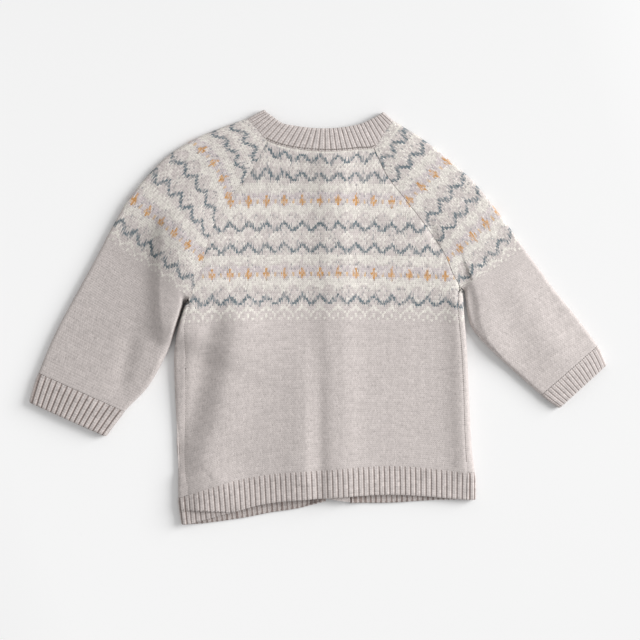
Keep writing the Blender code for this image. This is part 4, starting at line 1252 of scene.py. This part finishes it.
class CARDIGAN_OT_hems(bpy.types.Operator):
    """Build the ribbed hems of the back and the fronts"""

    bl_idname = "cardigan.hems"
    bl_label = "Hems"

    def execute(self, context):
        rows = np.linspace(HEM_ROW, HEM_EDGE_ROW, 25)
        across = np.linspace(0, 1, BACK_HEM_RIBS * RIB_STEPS + 1)
        edges = along_table(BACK_EDGES, rows)
        top, bottom = along_line(BACK_HEM_SEAM, len(across)), along_line(BACK_HEM_EDGE, len(across))
        down = rows - HEM_ROW
        plan = patch(top, bottom, edges[:, 0:2], edges[:, 2:4], across, down)
        swell = DOME * np.sin(np.pi * across)[None, :] * np.ones((len(rows), 1))
        grid = add_lift(np.dstack([plan, TOP + swell]))
        normals = section_normals(grid, np.array([1.0, 0.0, 0.0]))
        piece = rib_piece("back_hem_rib", "back_hem", grid, normals, across * BACK_HEM_RIBS,
                          6, 12, RIB_RELIEF["back"])
        for side in ("left", "right"):
            grid, out, _ = front_sections(side, rows, 1, 240, 41)
            share = smooth((grid[:, :, 2] - FOLD_RADIUS) / FOLD_RADIUS)
            share = share * (np.abs(grid[:, :, 0]) > SIDE_ZONE)
            grid[:, :, 2] += share * upper_lift(grid[:, :, 0], grid[:, :, 1])
            normals = section_normals(grid, -out)
            length = np.linalg.norm(np.diff(grid[0], axis=0), axis=1).cumsum()
            phase = np.r_[0.0, length] / FRONT_RIB
            piece = rib_piece("front_%s_hem_rib" % side, "front_%s_hem" % side, grid, normals,
                              phase, 7, 12, RIB_RELIEF["front"])
        return {'FINISHED'}


class CARDIGAN_OT_cuffs(bpy.types.Operator):
    """Build the ribbed cuffs"""

    bl_idname = "cardigan.cuffs"
    bl_label = "Cuffs"

    def execute(self, context):
        levels = np.linspace(CUFF_ROW, CUFF_EDGE_ROW, 25)
        for side in ("left", "right"):
            top_columns = CUFF_RIBS * RIB_STEPS + 1
            counts = (top_columns, top_columns, 1.0)
            grid, outs = sleeve_fine_grid(side, levels, counts)
            grid = add_lift(grid)
            normals = section_normals(grid, outs[:, None, :])
            normals[:, [0, -1]] = -outs[:, None, :]
            around = np.r_[np.linspace(0, CUFF_RIBS, top_columns),
                           CUFF_RIBS + np.linspace(0, 1, ARC_COLUMNS)[1:],
                           CUFF_RIBS + 1 + np.linspace(0, CUFF_RIBS, top_columns)[1:]]
            piece = rib_piece("cuff_%s_rib" % side, "cuff_" + side, grid, normals, around,
                              8, 12, RIB_RELIEF[side])
        return {'FINISHED'}


class CARDIGAN_OT_neckband(bpy.types.Operator):
    """Build the ribbed neckband"""

    bl_idname = "cardigan.neckband"
    bl_label = "Neckband"

    def execute(self, context):
        front, fold = 12, 2
        ribs = np.r_[np.linspace(0, front, front * RIB_STEPS + 1),
                     front + np.linspace(0, fold, fold * RIB_STEPS + 1)[1:],
                     front + fold + np.linspace(0, NECK_RIBS, NECK_RIBS * RIB_STEPS + 1)[1:],
                     front + fold + NECK_RIBS + np.linspace(0, fold, fold * RIB_STEPS + 1)[1:],
                     front + 2 * fold + NECK_RIBS + np.linspace(0, front, front * RIB_STEPS + 1)[1:]]
        marks = [0, front, front + fold, front + fold + NECK_RIBS,
                 front + 2 * fold + NECK_RIBS, 2 * front + 2 * fold + NECK_RIBS]
        stations = np.interp(ribs, marks, [0, LEFT_FOLD, BACK_START, BACK_END, RIGHT_START,
                                           LAST_STATION])
        neck, outs = neck_points(stations, 0)
        seam, _ = neck_points(stations, 1)
        down = np.linspace(0, 1, 21)[:, None, None]
        grid = seam[None] * (1.0 - down) + neck[None] * down
        normals = np.broadcast_to(outs, grid.shape)
        piece = rib_piece("neckband_rib", "neckband", grid, normals, ribs,
                          9, 9, RIB_RELIEF["neck"])
        return {'FINISHED'}


class CARDIGAN_OT_bands(bpy.types.Operator):
    """Build the button band and the buttonhole band"""

    bl_idname = "cardigan.bands"
    bl_label = "Bands"

    def execute(self, context):
        sets = [("button_band", BUTTON_BAND_Z), ("buttonhole_band", BUTTONHOLE_BAND_Z)]
        for name, z in sets:
            heights = np.linspace(BAND_HEM[1], BAND_NECK[1], 299)
            left = band_left_edge(heights)
            across = np.linspace(0.2, BAND_WIDTH - 0.2, 23)
            x = left[:, None] + across[None, :]
            near_hem = smooth(1.0 - (heights - BAND_HEM[1]) / 14.0)[:, None]
            corner = BAND_CORNER * near_hem * (1.0 - across / BAND_WIDTH)[None, :] ** 1.5
            y = heights[:, None] + corner
            edge = np.minimum(across, BAND_WIDTH - across)
            level = z + 0.4 * np.exp(-(edge / 1.2) ** 2)[None, :] + 0.0 * x
            holes = None
            if name == "buttonhole_band":
                middle_y = (heights[:-1] + heights[1:]) / 2.0
                middle_x = (across[:-1] + across[1:]) / 2.0 - BAND_WIDTH / 2.0
                near = np.zeros((len(middle_y), len(middle_x)))
                for number in range(1, BUTTON_COUNT + 1):
                    dy = middle_y - button_place(number)[1]
                    inside = (np.abs(dy) < BUTTONHOLE_LENGTH / 2.0)[:, None]
                    near = np.where(inside & (np.abs(middle_x) < BUTTONHOLE_HALF)[None, :], 1.0, near)
                holes = near > 0
            grid = np.dstack([x, y, level])
            stitch = np.broadcast_to(across[None, :] / BAND_STITCH, x.shape)
            row = heights[::-1, None] / BAND_ROW + 0.0 * x
            shape = (len(heights) - 1, len(across) - 1)
            rng = np.random.default_rng(11)
            colour = yarn_colour("ribbing") * rng.normal(1.0, settings().heather, shape + (1,))
            piece = cloth_piece(name + "_knit", grid, stitch, row, colour,
                                settings().knit_thickness, material("band"),
                                np.broadcast_to(-UP, grid.shape), holes)
            declare(piece, name)
        return {'FINISHED'}


class CARDIGAN_OT_buttons(bpy.types.Operator):
    """Build the four-hole buttons with the thread that holds them"""

    bl_idname = "cardigan.buttons"
    bl_label = "Buttons"

    def execute(self, context):
        for number in range(1, BUTTON_COUNT + 1):
            x, y = button_place(number)
            disc = bmesh.new()
            bmesh.ops.create_circle(disc, radius=BUTTON_DIAMETER / 2 * MM, segments=48)
            corners = [(-1, -1), (1, -1), (1, 1), (-1, 1)]
            for dx, dy in corners:
                where = Matrix.Translation((dx * HOLE_OFFSET * MM, dy * HOLE_OFFSET * MM, 0.0))
                bmesh.ops.create_circle(disc, radius=HOLE_RADIUS * MM, segments=16, matrix=where)
            bmesh.ops.triangle_fill(disc, edges=disc.edges[:], use_beauty=True)
            raised = bmesh.ops.extrude_face_region(disc, geom=disc.faces[:])
            top = [item for item in raised["geom"] if isinstance(item, bmesh.types.BMVert)]
            bmesh.ops.translate(disc, verts=top, vec=(0.0, 0.0, BUTTON_THICKNESS * MM))
            bmesh.ops.translate(disc, verts=disc.verts[:], vec=(x * MM, y * MM, 0.0))
            bmesh.ops.recalc_face_normals(disc, faces=disc.faces[:])
            mesh = bpy.data.meshes.new("button_%d_disc" % number)
            disc.to_mesh(mesh)
            disc.free()
            piece = add_piece("button_%d_disc" % number, mesh, plain_material("button", 0.35))
            mesh.set_sharp_from_angle(angle=0.6)
            rim = piece.modifiers.new("rim", 'BEVEL')
            rim.width = 0.3 * MM
            rim.segments = 2
            declare(piece, "button_%d" % number)
            thread = bmesh.new()
            for turn in (1, -1):
                a = np.array([x - HOLE_OFFSET, y - turn * HOLE_OFFSET, 0.4])
                b = np.array([x + HOLE_OFFSET, y + turn * HOLE_OFFSET, 0.4])
                add_bead(thread, (a + b) / 2, (b - a) / 2 * 1.1, 0.32)
            finish_beads("button_%d_thread" % number, thread, "ribbing")
        return {'FINISHED'}


class CARDIGAN_OT_seams(bpy.types.Operator):
    """Build the linking stitches of the raglan seams, the side seams and the neck seam"""

    bl_idname = "cardigan.seams"
    bl_label = "Seams"

    def execute(self, context):
        # The linking stitches take the darker linking yarn, as painted shade in the seams.
        for name, pick in (("left", 0), ("right", 2)):
            beads = bmesh.new()
            curve = along_table(BACK_EDGES, np.linspace(0, HEM_ROW, 300))[:, pick:pick + 2]
            line = along_line(curve[::10], LINKS_DOWN)
            lift = TOP + upper_lift(line[:, 0], line[:, 1]) - LINK_DEPTH[name]
            path = np.column_stack([line, lift])
            run = unit(np.gradient(path, axis=0))
            for place, way in zip(path[1:-1], run[1:-1]):
                add_bead(beads, place, way * LINK_LENGTH, LINK_RADIUS)
            finish_beads("seam_%s_links" % name, beads, "shadow_yarn")
        beads = bmesh.new()
        stations = np.linspace(RAGLAN_BACK_LEFT, RAGLAN_BACK_RIGHT, NECK_LINKS)
        path, _ = neck_points(stations, 1)
        path = path + np.array([0.0, 1.6, 0.1])
        run = unit(np.gradient(path, axis=0))
        for place, way in zip(path, run):
            add_bead(beads, place, way * 0.85, 0.55)
        finish_beads("neck_seam_loops", beads, "shadow_yarn")
        return {'FINISHED'}


FLOOR_SIZE = 24.0           # in metres, as are all the stage's lengths
FLOOR_LEVEL = -0.0005
# The floor's paint isn't one shade. It gets darker towards the key light's side, to offset the
# light's falling off, so that the floor looks even from above. From low angles it does not.
FLOOR_WAY = (0.93, 0.37, 0.0)
FLOOR_REACH = 0.3
FLOOR_SHADES = (1.0, 0.74)
KEY_POWER = 62.0
KEY_SIZE = 1.3
KEY_PLACE = (1.9, 0.6, 1.0)
WORLD_LIGHT = 0.54
LENS = 80.0                 # in mm, on a sensor of SENSOR
SENSOR = 36.0
VIEW_WIDTH = 0.567          # the floor's width in the picture
CAMERA_AT = (0.0018, -0.0027)


class CARDIGAN_OT_stage(bpy.types.Operator):
    """Build the pale floor, the lights and the camera overhead"""

    bl_idname = "cardigan.stage"
    bl_label = "Stage"

    def execute(self, context):
        scene = context.scene
        bpy.ops.mesh.primitive_plane_add(size=FLOOR_SIZE, location=(0.0, 0.0, FLOOR_LEVEL))
        floor = context.object
        floor.name = "floor"
        paint = bpy.data.materials.new("floor")
        paint.use_nodes = True
        shader = paint.node_tree.nodes["Principled BSDF"]
        place = paint.node_tree.nodes.new("ShaderNodeTexCoord")
        along = paint.node_tree.nodes.new("ShaderNodeVectorMath")
        along.operation = 'DOT_PRODUCT'
        along.inputs[1].default_value = FLOOR_WAY
        paint.node_tree.links.new(place.outputs["Object"], along.inputs[0])
        slope = paint.node_tree.nodes.new("ShaderNodeMapRange")
        slope.inputs["From Min"].default_value = -FLOOR_REACH
        slope.inputs["From Max"].default_value = FLOOR_REACH
        slope.inputs["To Min"].default_value = FLOOR_SHADES[0]
        slope.inputs["To Max"].default_value = FLOOR_SHADES[1]
        paint.node_tree.links.new(along.outputs["Value"], slope.inputs["Value"])
        paint.node_tree.links.new(slope.outputs[0], shader.inputs["Base Color"])
        shader.inputs["Roughness"].default_value = 0.9
        shader.inputs["Specular IOR Level"].default_value = 0.1
        floor.data.materials.append(paint)
        key_data = bpy.data.lights.new("key", 'AREA')
        key_data.energy = KEY_POWER
        key_data.size = KEY_SIZE
        key = bpy.data.objects.new("key", key_data)
        key.location = KEY_PLACE
        key.rotation_mode = 'QUATERNION'
        key.rotation_quaternion = (-Vector(key.location)).to_track_quat('-Z', 'Y')
        scene.collection.objects.link(key)
        world = bpy.data.worlds.new("studio")
        world.use_nodes = True
        world.node_tree.nodes["Background"].inputs["Color"].default_value = (1.0, 1.0, 1.0, 1.0)
        world.node_tree.nodes["Background"].inputs["Strength"].default_value = WORLD_LIGHT
        scene.world = world
        scene.view_settings.view_transform = 'Standard'
        lens = bpy.data.cameras.new("overhead")
        lens.lens = LENS
        lens.sensor_width = SENSOR
        lens.clip_start = 0.01
        camera = bpy.data.objects.new("overhead", lens)
        camera.location = (*CAMERA_AT, VIEW_WIDTH / (SENSOR / LENS))
        scene.collection.objects.link(camera)
        scene.camera = camera
        return {'FINISHED'}


OPERATORS = [
    CARDIGAN_OT_back, CARDIGAN_OT_fronts, CARDIGAN_OT_sleeves, CARDIGAN_OT_hems,
    CARDIGAN_OT_cuffs, CARDIGAN_OT_neckband, CARDIGAN_OT_bands, CARDIGAN_OT_buttons,
    CARDIGAN_OT_seams, CARDIGAN_OT_stage,
]


class CARDIGAN_PT_panel(bpy.types.Panel):
    """The cardigan's pieces and settings"""

    bl_idname = "CARDIGAN_PT_panel"
    bl_label = "Fair isle cardigan"
    bl_space_type = 'VIEW_3D'
    bl_region_type = 'UI'
    bl_category = "Cardigan"

    def draw(self, context):
        for kind in OPERATORS:
            self.layout.operator(kind.bl_idname)
        for key in CardiganSettings.__annotations__:
            self.layout.prop(context.scene.cardigan, key)


CLASSES = [CardiganSettings] + OPERATORS + [CARDIGAN_PT_panel]


def register():
    for kind in CLASSES:
        bpy.utils.register_class(kind)
    bpy.types.Scene.cardigan = bpy.props.PointerProperty(type=CardiganSettings)


def unregister():
    del bpy.types.Scene.cardigan
    for kind in reversed(CLASSES):
        bpy.utils.unregister_class(kind)


def main():
    register()
    bpy.ops.cardigan.back()
    bpy.ops.cardigan.fronts()
    bpy.ops.cardigan.sleeves()
    bpy.ops.cardigan.hems()
    bpy.ops.cardigan.cuffs()
    bpy.ops.cardigan.neckband()
    bpy.ops.cardigan.bands()
    bpy.ops.cardigan.buttons()
    bpy.ops.cardigan.seams()
    bpy.ops.cardigan.stage()


if __name__ == "__main__":
    main()
